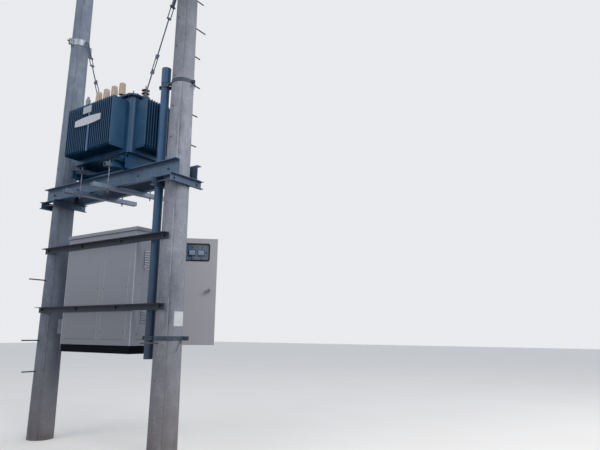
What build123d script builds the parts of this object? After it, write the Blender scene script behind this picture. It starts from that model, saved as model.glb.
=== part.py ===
from build123d import *
import math
import os

# Two-pole transformer station, in millimetres.
# X runs from the left pole to the right one, Y to the back, and Z up from the ground.
# The origin is the centre of the left pole at ground level.

# Clearances between pieces
seat_gap = 0.3
pin_clearance = 0.4

# Spun concrete poles, planted in the ground
pole_height = 11600
pole_top_diameter = 190
pole_taper = 1 / 75
pole_spacing = 2430
pole_top_bevel = 15
pole_hole_diameter = 18
first_hole_height = 482
hole_pitch = 422
top_hole_margin = 300

# Climbing pins left in the poles' holes: hole number, reach to the front and to the back
left_pins = ((1, 195, 8), (2, 250, 8), (4, 245, 8), (13, 95, 75))
right_pins = ((2, 240, 8), (8, 8, 142), (9, 8, 142), (10, 8, 165), (11, 8, 142), (12, 8, 225), (13, 8, 165))

# Holes that carry the steelwork
lower_bar_hole = 3
upper_bar_hole = 5
beam_hole = 7

# Main channel beams and the saddle channels under them
beam_height = 200
beam_width = 70
beam_web = 7
beam_flange = 9
beam_overhang = 190
beam_root_radius = 8
saddle_height = 100
saddle_width = 50
saddle_web = 5
saddle_flange = 8
saddle_length = 520
saddle_root_radius = 6
saddle_bolt_diameter = 18
saddle_bolt_offset = 190
beam_tie_offset = 568

# Nuts and washers of the long bolts
nut_across_flats = 27
nut_thickness = 15
bolt_tail = 7.5
washer_plate = 60
washer_plate_thickness = 6

# Transformer tank
tank_length = 1190
tank_width = 580
tank_corner_radius = 60
tank_height = 785
flange_overhang = 40
flange_thickness = 14
lid_thickness = 8

# Corrugated walls: folded fins, pinched shut at their ends
fin_pitch = 41.5
fin_thickness = 11
fin_wall_thickness = 3
fin_pinch_length = 26
fin_pinch_thickness = 3
fin_lift = 55
fin_height = 680
long_fin_count = 24
long_fin_depth = 222
short_fin_count = 11
short_fin_depth = 202

# Plates carried on a strip welded down the front fins
strip_width = 36
strip_offset = 12
strip_thickness = 5
strip_drop = 8
name_plate_length = 556
name_plate_offset = -13
name_plate_end_height = 84
name_plate_middle_height = 116
name_plate_rise = 425
rating_plate_length = 182
rating_plate_height = 98
rating_plate_rise = 585
rating_plate_offset = -38
rating_plate_corner_radius = 6
plate_thickness = 3

# Base frame, rollers and hold-down
skid_height = 100
skid_width = 56
skid_web = 5.5
skid_flange = 8.5
skid_length = 800
skid_gauge = 860
cross_height = 50
cross_width = 40
cross_web = 5
cross_flange = 7
cross_offset = 180
base_root_radius = 5
end_plate_offset = 530
end_plate_thickness = 10
end_plate_length = 560
end_plate_hole_diameter = 38
end_plate_hole_offset = 258
end_plate_hole_drop = 42
roller_offset = 250
roller_radius = 52.5
roller_tread_width = 42
roller_rim_width = 7
roller_rim_height = 10
roller_rim_slope = 1
roller_head_room = 4
axle_diameter = 22
fork_thickness = 8
fork_width = 60
fork_gap = 2
axle_tail = 8
clamp_width = 80
clamp_height = 56
clamp_web = 6
clamp_flange = 7
clamp_spacing = 600
clamp_skew = 10
upper_clamp_length = 760
lower_clamp_length = 1050
rod_diameter = 16
rod_offset = 310
rod_tail = 42

# Lid fittings
lv_bushing_count = 4
lv_bushing_pitch = 175
lv_bushing_start = 857
lv_bushing_offset = -150
lv_stem_radius = 24
lv_flange_radius = 42
lv_cap_bottom = 80
lv_cap_top = 70
lv_cap_height = 170
lv_cap_level = 145
lv_flange_height = 12
lv_neck_height = 30
lv_neck_flare = 12
hv_bushing_count = 3
hv_bushing_pitch = 275
hv_bushing_offset = 165
hv_body_height = 330
hv_core_radius = 30
hv_shed_radius = 58
hv_shed_count = 6
hv_flange_radius = 62
hv_stud_radius = 8
hv_stud_height = 55
hv_base_height = 24
hv_base_flare = 8
hv_head_taper = 4
hv_shed_profile = (0.35, 0.55, 0.65, 0.95)
gland_centre = (660, -190)
gland_base_radius = 46
gland_body_radius = 34
gland_body_height = 232
gland_cone_height = 52
gland_top_radius = 13
gland_base_height = 14
gland_shoulder = 10
gland_rim = 8
gland_neck_flare = 6
gland_neck_share = 0.7
lug_reach = 455
lug_width = 90
lug_height = 78
lug_thickness = 14
lug_hole_diameter = 30

# Cross bars on the front of the poles
bar_leg = 75
bar_thickness = 7
bar_length = 2590
bar_root_radius = 7
bar_hole_drop = 35
bar_bolt_inset = 300

# Distribution cabinet
cabinet_width = 1430
cabinet_depth = 550
cabinet_bottom = 1285
cabinet_height = 1430
cabinet_sheet = 3
cabinet_return = 40
plinth_height = 98
plinth_wall = 6
plinth_flange = 42
plinth_inset = 10
roof_overhang = 15
roof_edge_height = 44
roof_rise = 40
roof_flat_share = 0.55
groove_width = 5
groove_depth = 1.4
side_margin = 75
first_panel_start = 60
first_panel_width = 690
panel_gap = 70
last_panel_margin = 110
panel_bottom_margin = 70
panel_top_margin = 72
louvre_start = 140
louvre_length = 270
louvre_pitch = 32
louvre_depth = 18
louvre_height = 23
louvre_sheet = 1.6
louvre_belly = (0.72, 0.62)
upper_louvre_count = 8
upper_louvre_drop = 235
lower_louvre_count = 5
lower_louvre_rise = 430

# Rear leaves and their hinges
post_width = 52
leaf_thickness = 22
leaf_stand_off = 6
leaf_bottom_gap = 3
leaf_top_gap = 10
leaf_sheet = 3
leaf_overlap = 20
frame_return = 20
open_angle = 138
hinge_pin_diameter = 8
knuckle_diameter = 14
knuckle_length = 30
hinge_edge_gap = 15
hinge_tab = 8
hinge_margins = (175, 155)
window_start = 136
window_width = 414
window_drop = 320
window_height = 242
window_corner_radius = 26
gasket_width = 12
gasket_thickness = 7
gasket_lip = 4
glass_thickness = 4
meter_size = 96
meter_depth = 14
meter_body = 88
meter_body_depth = 55
meter_starts = (188, 310, 432)
meter_rise = 62
meter_corner_radius = 5
dial_width = 78
dial_height = 62
dial_rise = 8
dial_depth = 3
lamp_radius = 11
lamp_dome_radius = 8
lamp_depth = 16
lamp_rise = 186
lamp_starts = (243, 311, 379, 440)
instrument_box_margin = 22
instrument_box_depth = 26
selector_start = 500
selector_rise = 115
selector_radius = 13
selector_grip = (7, 24)
knob_radius = 9
knob_depth = 12
knob_rise = 38
small_knob_start = 491
small_knob_rise = 63
small_knob_radius = 8
handle_start = 556
handle_rise = 719
handle_rose_radius = 21
handle_rose_thickness = 9
handle_spindle = 12
handle_neck = 2
handle_stand_off = 30
handle_lever_length = 62
handle_lever_width = 24
handle_tip_width = 16
handle_lever_thickness = 12
handle_lever_drop = 40
latch_length = 84
latch_width = 20
latch_thickness = 5

# Switchgear inside the cabinet
board_thickness = 3
board_offset = 120
board_margin = 90
breaker_width = 210
breaker_height = 300
breaker_depth = 130
feeder_width = 105
feeder_height = 170
feeder_depth = 90
feeder_count = 4
feeder_pitch = 215
feeder_rise = 275
breaker_rise = 845
breaker_side = 300
busbar_height = 40
busbar_thickness = 8
busbar_pitch = 75
busbar_rise = 555
busbar_support_depth = 42
busbar_support_width = 34
busbar_support_offset = 361
breaker_mask = (126, 39, 96)
breaker_toggle = (38, 39, 27)
breaker_toggle_rise = 15
feeder_mask = (52, 27, 61)
feeder_toggle = (21, 27, 20)
feeder_toggle_rise = 10
toggle_sink = 8

# Cable riser beside the right pole
riser_diameter = 110
riser_wall = 5.3
riser_top = 4900
riser_bottom = 1135
riser_socket_diameter = 122
riser_socket_length = 215
riser_offset = (-260, -60)
riser_band_width = 50
riser_band_thickness = 4
riser_waist_width = 60
riser_waist_bend = 45
pipe_ear_length = 36
riser_ear_thickness = 5
riser_ear_gap = 8
riser_bolt_diameter = 14
riser_nut_across_flats = 22
riser_nut_thickness = 11
riser_bolt_tail = 10

# Riser clamps: level, length of the ears behind the pole, and their turn about the pole
riser_clamp_places = ((1380, 70, 27), (4640, 36, 0))

# Stays from the poles to the lid
stay_collar_levels = (5970, 6190)
collar_height = 100
collar_thickness = 7
collar_lug_reach = 42
collar_lug_thickness = 14
collar_lug_margin = 8
collar_weld_depth = 2
ear_length = 55
ear_thickness = 9
ear_gap = 20
ear_bolt_diameter = 14
ear_bolt_inset = 22
ear_nut_across_flats = 22
ear_nut_thickness = 12
ear_bolt_tail = 9
link_length = 330
link_width = 40
link_thickness = 8
stay_rod_diameter = 18
stay_pin_diameter = 18
stay_pin_head = 8
stay_pin_nut = 10
stay_pin_tail = 6
shackle_bar = 14
shackle_length = 170
shackle_offset = 25
shackle_eye_radius = 17
shackle_block = (22, 26)
fork_reach = 75
fork_block = 30
turnbuckle_length = 280
turnbuckle_half = 24
turnbuckle_boss = 34
turnbuckle_gap = 150
turnbuckle_boss_margin = 8
turnbuckle_distance = 660


def pole_radius(height):
    return (pole_top_diameter + (pole_height - height) * pole_taper) / 2


def hole_height(number):
    return first_hole_height + number * hole_pitch


# Places worked out from the sizes above
middle = pole_spacing / 2
beam_level = hole_height(beam_hole) - beam_height / 2
beam_top = beam_level + beam_height
skid_top = beam_top + skid_height
cross_top = beam_top + cross_height
roller_centre_height = skid_top + roller_radius + seat_gap
tank_bottom_height = skid_top + 2 * roller_radius + roller_head_room
tank_top = tank_bottom_height + tank_height
fin_bottom_height = tank_bottom_height + fin_lift
lid_bottom = tank_top + flange_thickness
lid_top = lid_bottom + lid_thickness
front_fin_tip = -tank_width / 2 - fin_wall_thickness - long_fin_depth
strip_face = front_fin_tip - strip_thickness
bolt_end = nut_thickness + bolt_tail
beam_plane = pole_radius(beam_level) + seat_gap
saddle_plane = pole_radius(beam_level - saddle_height) + seat_gap
lower_bar_top = hole_height(lower_bar_hole) + bar_hole_drop
upper_bar_top = hole_height(upper_bar_hole) + bar_hole_drop
lower_bar_plane = pole_radius(lower_bar_top - bar_leg) + seat_gap
upper_bar_plane = pole_radius(upper_bar_top - bar_leg) + seat_gap
cabinet_left = middle - cabinet_width / 2
cabinet_right = middle + cabinet_width / 2
cabinet_front = -upper_bar_plane + seat_gap
cabinet_rear = cabinet_front + cabinet_depth
cabinet_top = cabinet_bottom + cabinet_height
louvre_rows = ((cabinet_top - upper_louvre_drop, upper_louvre_count),
               (cabinet_bottom + lower_louvre_rise, lower_louvre_count))
second_panel_start = first_panel_start + first_panel_width + panel_gap
second_panel_width = cabinet_width - second_panel_start - last_panel_margin
leaf_width = (cabinet_width - 3 * post_width) / 2
leaf_bottom = cabinet_bottom + leaf_bottom_gap
leaf_top = cabinet_top - leaf_top_gap
hinge_x = middle + post_width / 2 + leaf_width + hinge_edge_gap
hinge_y = cabinet_rear + leaf_stand_off + leaf_thickness / 2
lowest_hinge = cabinet_bottom + hinge_margins[0]
highest_hinge = cabinet_top - hinge_margins[1]
hinge_heights = (lowest_hinge, (lowest_hinge + highest_hinge) / 2, highest_hinge)
window_bottom = cabinet_top - window_drop
window_centre = (window_start + window_width / 2, window_bottom + window_height / 2)
meter_centre_height = window_bottom + meter_rise + meter_size / 2
handle_level = cabinet_bottom + handle_rise
panel_face = -instrument_box_depth
switch_face = cabinet_front + board_offset + board_thickness + seat_gap
riser_centre = (pole_spacing + riser_offset[0], riser_offset[1])
riser_reach = math.hypot(*riser_offset)


def save(name, pieces):
    solids = [solid for piece in pieces for solid in piece.solids()]
    shape = solids[0] if len(solids) == 1 else Compound(children=solids)
    export_step(shape, os.path.join("parts", name + ".step"))


def block(x_range, y_range, z_range):
    low = (x_range[0], y_range[0], z_range[0])
    size = (x_range[1] - x_range[0], y_range[1] - y_range[0], z_range[1] - z_range[0])
    return Pos(*low) * Box(*size, align=(Align.MIN, Align.MIN, Align.MIN))


def bar_between(start, end, radius):
    direction = Vector(*end) - Vector(*start)
    return extrude(Plane(origin=start, z_dir=direction) * Circle(radius), amount=direction.length)


def hexagon_nut(start, direction, across_flats, thickness):
    outline = RegularPolygon(across_flats / math.sqrt(3), 6)
    return extrude(Plane(origin=start, z_dir=direction) * outline, thickness)


def channel(start, along, opening, length, height, width, web, flange, root_radius):
    # The back of the web starts at the given point, and the flanges point along the opening.
    half = height / 2
    corners = [(0, -half), (width, -half), (width, flange - half), (web, flange - half),
               (web, half - flange), (width, half - flange), (width, half), (0, half)]
    section = make_face(Polyline(*corners, close=True))
    roots = [v for v in section.vertices() if abs(v.X - web) < seat_gap]
    section = fillet(roots, root_radius)
    return extrude(Plane(origin=start, x_dir=opening, z_dir=along) * section, amount=length)


# Poles and climbing pins

def make_pole(x):
    foot = pole_radius(0)
    top = pole_top_diameter / 2
    outline = [(0, 0), (foot, 0), (top, pole_height - pole_top_bevel), (top - pole_top_bevel, pole_height),
               (0, pole_height)]
    pole = revolve(Plane.XZ * make_face(Polyline(*outline, close=True)), Axis.Z)
    count = int((pole_height - top_hole_margin - first_hole_height) / hole_pitch) + 1
    for number in range(count):
        drill = Cylinder(pole_hole_diameter / 2, 2 * foot + pole_hole_diameter)
        pole -= Pos(0, 0, hole_height(number)) * Rot(X=90) * drill
    return Pos(x, 0, 0) * pole


def make_pins(x, pins):
    radius = pole_hole_diameter / 2 - seat_gap
    made = []
    for number, front, back in pins:
        height = hole_height(number)
        reach = pole_radius(height)
        made.append(bar_between((x, -reach - front, height), (x, reach + back, height), radius))
    return made


# Beams, saddles and the bolts through the poles

def make_beam(side):
    start = (-beam_overhang, side * beam_plane, beam_level + beam_height / 2)
    length = pole_spacing + 2 * beam_overhang
    beam = channel(start, (1, 0, 0), (0, side, 0), length, beam_height, beam_width, beam_web, beam_flange,
                   beam_root_radius)
    for x in beam_bolt_places():
        drill = Cylinder(pole_hole_diameter / 2, 2 * beam_width)
        beam -= Pos(x, side * beam_plane, hole_height(beam_hole)) * Rot(X=90) * drill
    return beam


def beam_bolt_places():
    return (0, beam_tie_offset + seat_gap, pole_spacing - beam_tie_offset - seat_gap, pole_spacing)


def make_saddles(pole_x):
    made = []
    for side in (-1, 1):
        start = (pole_x + side * saddle_plane, -saddle_length / 2, beam_level - saddle_height / 2)
        saddle = channel(start, (0, 1, 0), (side, 0, 0), saddle_length, saddle_height, saddle_width,
                         saddle_web, saddle_flange, saddle_root_radius)
        for y in (-saddle_bolt_offset, saddle_bolt_offset):
            drill = Cylinder(saddle_bolt_diameter / 2 + seat_gap, 4 * saddle_width)
            place = (pole_x + side * saddle_plane, y, beam_level - saddle_height / 2)
            saddle -= Pos(*place) * Rot(Y=90) * drill
        made.append(saddle)
    return made


def through_bolt(start, end, radius):
    # A rod with a nut outside each of its two seats.
    rod = bar_between(start, end, radius)
    along = (Vector(*end) - Vector(*start)).normalized()
    for place in (Vector(*start) + along * bolt_tail, Vector(*end) - along * bolt_end):
        rod += hexagon_nut(place, along, nut_across_flats, nut_thickness)
    return rod


def make_beam_bolts():
    reach = beam_plane + beam_web + bolt_end
    radius = pole_hole_diameter / 2 - seat_gap
    height = hole_height(beam_hole)
    return [through_bolt((x, -reach, height), (x, reach, height), radius) for x in beam_bolt_places()]


def make_saddle_bolts():
    made = []
    reach = saddle_plane + saddle_web + bolt_end
    height = beam_level - saddle_height / 2
    radius = saddle_bolt_diameter / 2
    for pole_x in (0, pole_spacing):
        for y in (-saddle_bolt_offset, saddle_bolt_offset):
            made.append(through_bolt((pole_x - reach, y, height), (pole_x + reach, y, height), radius))
    return made


def make_bar_bolts():
    made = []
    radius = pole_hole_diameter / 2 - seat_gap
    for plane, top in ((lower_bar_plane, lower_bar_top), (upper_bar_plane, upper_bar_top)):
        height = top - bar_hole_drop
        back = pole_radius(height - washer_plate / 2) + seat_gap + washer_plate_thickness
        front = -plane - bar_thickness - bolt_end
        for pole_x in (0, pole_spacing):
            end = (pole_x, back + bolt_end, height)
            bolt = through_bolt((pole_x, front, height), end, radius)
            washer = Pos(pole_x, back - washer_plate_thickness / 2, height) * Box(
                washer_plate, washer_plate_thickness, washer_plate)
            made.append(bolt + washer)
        inside = cabinet_front + cabinet_sheet + bolt_end
        for x in bar_bolt_places():
            made.append(through_bolt((x, front, height), (x, inside, height), radius))
    return made


# Transformer tank, lid and corrugated walls

def make_tank():
    tank = extrude(RectangleRounded(tank_length, tank_width, tank_corner_radius), tank_height)
    flange = extrude(RectangleRounded(tank_length + 2 * flange_overhang, tank_width + 2 * flange_overhang,
                                      tank_corner_radius + flange_overhang), flange_thickness)
    tank += Pos(0, 0, tank_height) * flange
    tank = Pos(middle, 0, tank_bottom_height) * tank
    for x, y in roller_places():
        for side in (-1, 1):
            inner = roller_half_width() + fork_gap
            low = min(side * inner, side * (inner + fork_thickness))
            cheek = block((x + low, x + low + fork_thickness), (y - fork_width / 2, y + fork_width / 2),
                          (roller_centre_height - fork_width / 2, tank_bottom_height))
            drill = Cylinder(axle_diameter / 2 + seat_gap, 4 * fork_width)
            cheek -= Pos(x, y, roller_centre_height) * Rot(Y=90) * drill
            tank += cheek
    return tank


def make_lid():
    plate = extrude(RectangleRounded(tank_length + 2 * flange_overhang, tank_width + 2 * flange_overhang,
                                     tank_corner_radius + flange_overhang), lid_thickness)
    return Pos(middle, 0, lid_bottom) * plate


def fin_wall(count, depth):
    # Seen from above the wall runs along X and its folds point to -Y. It stands on its lower end.
    width = (count - 1) * fin_pitch + fin_thickness
    wall = Pos(0, -fin_wall_thickness / 2) * Rectangle(width, fin_wall_thickness)
    made = extrude(wall, fin_height)
    tip = depth - fin_thickness / 2
    fold = Pos(0, -fin_wall_thickness - tip / 2) * Rectangle(fin_thickness, tip)
    fold += Pos(0, -fin_wall_thickness - tip) * Circle(fin_thickness / 2)
    pinch = Pos(0, -fin_wall_thickness - tip / 2) * Rectangle(fin_pinch_thickness, tip)
    fold = Pos(0, 0, fin_pinch_length) * extrude(fold, fin_height - 2 * fin_pinch_length)
    fold += extrude(pinch, fin_height)
    for number in range(count):
        made += Pos((number - (count - 1) / 2) * fin_pitch, 0, 0) * fold
    return made


def make_fin_walls():
    long_wall = fin_wall(long_fin_count, long_fin_depth)
    short_wall = fin_wall(short_fin_count, short_fin_depth)
    front = Pos(middle, -tank_width / 2, fin_bottom_height) * long_wall
    back = Pos(middle, tank_width / 2, fin_bottom_height) * Rot(Z=180) * long_wall
    right = Pos(middle + tank_length / 2, 0, fin_bottom_height) * Rot(Z=90) * short_wall
    left = Pos(middle - tank_length / 2, 0, fin_bottom_height) * Rot(Z=-90) * short_wall
    return [front, back, right, left]


def make_plate_strip():
    top = fin_bottom_height + fin_height - fin_pinch_length
    left = middle + strip_offset - strip_width / 2
    return block((left, left + strip_width), (strip_face, front_fin_tip),
                 (fin_bottom_height - strip_drop, top))


def make_name_plate():
    half = name_plate_length / 2
    end = name_plate_end_height / 2
    bulge = name_plate_middle_height / 2
    upper = ThreePointArc((-half, end), (0, bulge), (half, end))
    lower = ThreePointArc((half, -end), (0, -bulge), (-half, -end))
    outline = upper + Line((half, end), (half, -end)) + lower + Line((-half, -end), (-half, end))
    plate = extrude(Plane.XZ * make_face(outline), plate_thickness)
    return Pos(middle + name_plate_offset, strip_face, fin_bottom_height + name_plate_rise) * plate


def make_rating_plate():
    outline = RectangleRounded(rating_plate_length, rating_plate_height, rating_plate_corner_radius)
    plate = extrude(Plane.XZ * outline, plate_thickness)
    return Pos(middle + rating_plate_offset, strip_face, fin_bottom_height + rating_plate_rise) * plate


# Base frame, rollers and hold-down

def roller_half_width():
    return roller_tread_width / 2 + roller_rim_width


def skid_centre(side):
    return middle + side * (skid_gauge / 2 + skid_width / 2)


def roller_places():
    return [(skid_centre(side), y) for side in (-1, 1) for y in (-roller_offset, roller_offset)]


def make_base_frame():
    frame = None
    for side in (-1, 1):
        start = (middle + side * skid_gauge / 2, -skid_length / 2, beam_top + skid_height / 2)
        skid = channel(start, (0, 1, 0), (side, 0, 0), skid_length, skid_height, skid_width, skid_web,
                       skid_flange, base_root_radius)
        frame = skid if frame is None else frame + skid
    reach = end_plate_offset + end_plate_thickness / 2
    for side in (-1, 1):
        start = (middle - reach, side * cross_offset, beam_top + cross_height / 2)
        frame += channel(start, (1, 0, 0), (0, side, 0), 2 * reach, cross_height, cross_width, cross_web,
                         cross_flange, base_root_radius)
    for side in (-1, 1):
        frame += Pos(middle + side * end_plate_offset, 0, 0) * make_end_plate()
    return frame


def make_end_plate():
    # An upright plate under the end of the tank, with a towing hole in each corner.
    top = tank_bottom_height - seat_gap
    half = end_plate_thickness / 2
    plate = block((-half, half), (-end_plate_length / 2, end_plate_length / 2), (beam_top, top))
    for y in (-end_plate_hole_offset, end_plate_hole_offset):
        drill = Cylinder(end_plate_hole_diameter / 2, 2 * end_plate_thickness)
        plate -= Pos(0, y, top - end_plate_hole_drop) * Rot(Y=90) * drill
    return plate


def make_rollers():
    radius = roller_radius
    half = roller_half_width()
    tread = radius - roller_rim_height
    bore = axle_diameter / 2
    inner = roller_tread_width / 2
    slope = roller_rim_slope
    axle_end = half + fork_gap + fork_thickness + axle_tail
    outline = [(0, -axle_end), (bore, -axle_end), (bore, -half), (radius, -half), (radius, -inner - slope),
               (tread, -inner), (tread, inner), (radius, inner + slope), (radius, half), (bore, half),
               (bore, axle_end), (0, axle_end)]
    roller = revolve(Plane.XY * make_face(Polyline(*outline, close=True)), Axis.Y)
    roller = Rot(Z=90) * roller
    return [Pos(x, y, roller_centre_height) * roller for x, y in roller_places()]


def clamp_places():
    return (middle - clamp_spacing / 2, middle + clamp_spacing / 2)


def make_clamps(length, web_level, opening_side):
    # A channel on its side, with the web level and the flanges pointing up or down.
    made = []
    for x in clamp_places():
        bar = channel((0, -length / 2, 0), (0, 1, 0), (0, 0, opening_side), length, clamp_width,
                      clamp_height, clamp_web, clamp_flange, base_root_radius)
        for y in (-rod_offset, rod_offset):
            bar -= Pos(0, y, 0) * Cylinder(rod_diameter / 2 + seat_gap, 4 * clamp_height)
        made.append(Pos(x, 0, web_level) * Rot(Z=-clamp_skew) * bar)
    return made


def make_hold_down_rods():
    made = []
    top = cross_top + clamp_height
    bottom = beam_level - clamp_height
    for x in clamp_places():
        for y in (-rod_offset, rod_offset):
            place = Pos(x, 0, 0) * Rot(Z=-clamp_skew) * Pos(0, y, 0)
            rod = Pos(0, 0, bottom - rod_tail) * Cylinder(
                rod_diameter / 2, top - bottom + 2 * rod_tail, align=(Align.CENTER, Align.CENTER, Align.MIN))
            rod += hexagon_nut((0, 0, top), (0, 0, 1), nut_across_flats, nut_thickness)
            rod += hexagon_nut((0, 0, bottom - nut_thickness), (0, 0, 1), nut_across_flats, nut_thickness)
            made.append(place * rod)
    return made


# Lid fittings

def make_lv_bushings():
    outline = [(0, 0), (lv_flange_radius, 0), (lv_flange_radius, lv_flange_height),
               (lv_stem_radius + lv_neck_flare, lv_neck_height), (lv_stem_radius, lv_cap_level),
               (0, lv_cap_level)]
    bushing = revolve(Plane.XZ * make_face(Polyline(*outline, close=True)), Axis.Z)
    return [Pos(x, lv_bushing_offset, lid_top) * bushing for x in lv_places()]


def lv_places():
    return [lv_bushing_start + number * lv_bushing_pitch for number in range(lv_bushing_count)]


def make_bushing_caps():
    lower = RectangleRounded(lv_cap_bottom, lv_cap_bottom, lv_cap_bottom / 4)
    upper = Pos(0, 0, lv_cap_height) * RectangleRounded(lv_cap_top, lv_cap_top, lv_cap_top / 4)
    cap = loft([lower, upper])
    return [Pos(x, lv_bushing_offset, lid_top + lv_cap_level) * cap for x in lv_places()]


def make_hv_bushings():
    base = hv_base_height
    pitch = (hv_body_height - base) / hv_shed_count
    outline = [(0, 0), (hv_flange_radius, 0), (hv_flange_radius, base / 2),
               (hv_core_radius + hv_base_flare, base)]
    radii = (hv_core_radius, hv_shed_radius, hv_shed_radius, hv_core_radius)
    for number in range(hv_shed_count):
        level = base + number * pitch
        outline += [(radius, level + pitch * share) for radius, share in zip(radii, hv_shed_profile)]
    top = base + hv_shed_count * pitch
    outline += [(hv_core_radius - hv_head_taper, top), (hv_stud_radius, top),
                (hv_stud_radius, top + hv_stud_height), (0, top + hv_stud_height)]
    bushing = revolve(Plane.XZ * make_face(Polyline(*outline, close=True)), Axis.Z)
    first = middle - (hv_bushing_count - 1) / 2 * hv_bushing_pitch
    return [Pos(first + number * hv_bushing_pitch, hv_bushing_offset, lid_top) * bushing
            for number in range(hv_bushing_count)]


def make_cable_gland():
    body_top = gland_body_height
    cone_top = body_top + gland_cone_height
    outline = [(0, 0), (gland_base_radius, 0), (gland_base_radius, gland_base_height),
               (gland_body_radius, gland_base_height + gland_shoulder), (gland_body_radius, body_top),
               (gland_body_radius - gland_rim, body_top),
               (gland_top_radius + gland_neck_flare, body_top + gland_cone_height * gland_neck_share),
               (gland_top_radius, cone_top), (0, cone_top)]
    gland = revolve(Plane.XZ * make_face(Polyline(*outline, close=True)), Axis.Z)
    return Pos(gland_centre[0], gland_centre[1], lid_top) * gland


def lug_point(side):
    return (middle + side * lug_reach, 0, lid_top + lug_height - lug_width / 4)


def make_lifting_lugs():
    made = []
    drop = (lug_hole_diameter - stay_pin_diameter) / 2 - pin_clearance
    for side in (-1, 1):
        half = lug_width / 2
        eye = lug_height - lug_width / 4
        outline = Line((-half, 0), (half, 0)) + Line((half, 0), (lug_width / 4, eye))
        outline += ThreePointArc((lug_width / 4, eye), (0, lug_height), (-lug_width / 4, eye))
        outline += Line((-lug_width / 4, eye), (-half, 0))
        lug = make_face(outline) - Pos(0, eye - drop) * Circle(lug_hole_diameter / 2)
        plate = extrude(Plane.XZ * lug, lug_thickness / 2, both=True)
        made.append(Pos(middle + side * lug_reach, 0, lid_top) * plate)
    return made


# Cross bars between the poles

def bar_bolt_places():
    return (cabinet_left + bar_bolt_inset, cabinet_right - bar_bolt_inset)


def make_bar(plane, top):
    # An angle with its upright leg against the poles and its level leg on top.
    corners = [(0, 0), (bar_leg, 0), (bar_leg, bar_thickness), (bar_thickness, bar_thickness),
               (bar_thickness, bar_leg), (0, bar_leg)]
    section = make_face(Polyline(*corners, close=True))
    root = [v for v in section.vertices() if abs(v.X - bar_thickness) + abs(v.Y - bar_thickness) < seat_gap]
    section = fillet(root, bar_root_radius)
    start = (middle - bar_length / 2, -plane, top)
    bar = extrude(Plane(origin=start, x_dir=(0, -1, 0), z_dir=(1, 0, 0)) * section, amount=bar_length)
    packer = plane - upper_bar_plane
    height = top - bar_hole_drop
    if packer > seat_gap:
        for x in bar_bolt_places():
            bar += Pos(x, -plane + packer / 2, height) * Box(washer_plate, packer, washer_plate)
    for x in (0, pole_spacing) + bar_bolt_places():
        bar -= Pos(x, -plane, height) * Rot(X=90) * Cylinder(pole_hole_diameter / 2, 2 * bar_leg)
    return bar


def make_cross_bars():
    return [make_bar(lower_bar_plane, lower_bar_top), make_bar(upper_bar_plane, upper_bar_top)]


# Cabinet walls

def grooves(outline_low, outline_high, plane):
    # A rectangular ring to cut a shallow groove, drawn in the given plane.
    width = outline_high[0] - outline_low[0]
    height = outline_high[1] - outline_low[1]
    centre = Pos((outline_low[0] + outline_high[0]) / 2, (outline_low[1] + outline_high[1]) / 2)
    inside = Rectangle(width - 2 * groove_width, height - 2 * groove_width)
    return extrude(plane * centre * (Rectangle(width, height) - inside), amount=-groove_depth)


def make_front_wall():
    wall = block((cabinet_left, cabinet_right), (cabinet_front, cabinet_front + cabinet_sheet),
                 (cabinet_bottom, cabinet_top))
    plane = Plane(origin=(cabinet_left, cabinet_front, cabinet_bottom), x_dir=(1, 0, 0), z_dir=(0, -1, 0))
    low = panel_bottom_margin
    high = cabinet_height - panel_top_margin
    for start, width in ((first_panel_start, first_panel_width), (second_panel_start, second_panel_width)):
        wall -= grooves((start, low), (start + width, high), plane)
    for x in bar_bolt_places():
        for top in (lower_bar_top, upper_bar_top):
            drill = Cylinder(pole_hole_diameter / 2, 4 * cabinet_sheet + washer_plate)
            wall -= Pos(x, cabinet_front, top - bar_hole_drop) * Rot(X=90) * drill
    return wall


def louvre_hood(depth, height, length):
    belly = (depth * louvre_belly[0], height * louvre_belly[1])
    outline = ThreePointArc((0, height), belly, (depth, 0)) + Line((depth, 0), (0, 0))
    outline += Line((0, 0), (0, height))
    return extrude(Plane.XZ * make_face(outline), amount=-length)


def make_side_wall(side):
    # The right wall is drawn in place; the left one mirrors it about the middle.
    face = cabinet_right
    wall = block((face - cabinet_sheet, face), (cabinet_front + cabinet_sheet, cabinet_rear),
                 (cabinet_bottom, cabinet_top))
    plane = Plane(origin=(face, cabinet_front, cabinet_bottom), x_dir=(0, 1, 0), z_dir=(1, 0, 0))
    wall -= grooves((side_margin, panel_bottom_margin),
                    (cabinet_depth - side_margin, cabinet_height - panel_top_margin), plane)
    hood = louvre_hood(louvre_depth, louvre_height, louvre_length)
    inner_length = louvre_length - 2 * louvre_sheet
    inner = louvre_hood(louvre_depth - louvre_sheet, louvre_height - louvre_sheet, inner_length)
    slot = block((-2 * cabinet_sheet, 0), (0, inner_length), (0, louvre_height - 3 * louvre_sheet))
    levels = [top - louvre_height - number * louvre_pitch
              for top, count in louvre_rows for number in range(count)]
    start = cabinet_front + louvre_start
    wall += [Pos(face, start, level) * hood for level in levels]
    wall -= [Pos(face, start + louvre_sheet, level) * (inner + slot) for level in levels]
    if side < 0:
        wall = mirror(wall, about=Plane(origin=(middle, 0, 0), z_dir=(1, 0, 0)))
    return wall


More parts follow.
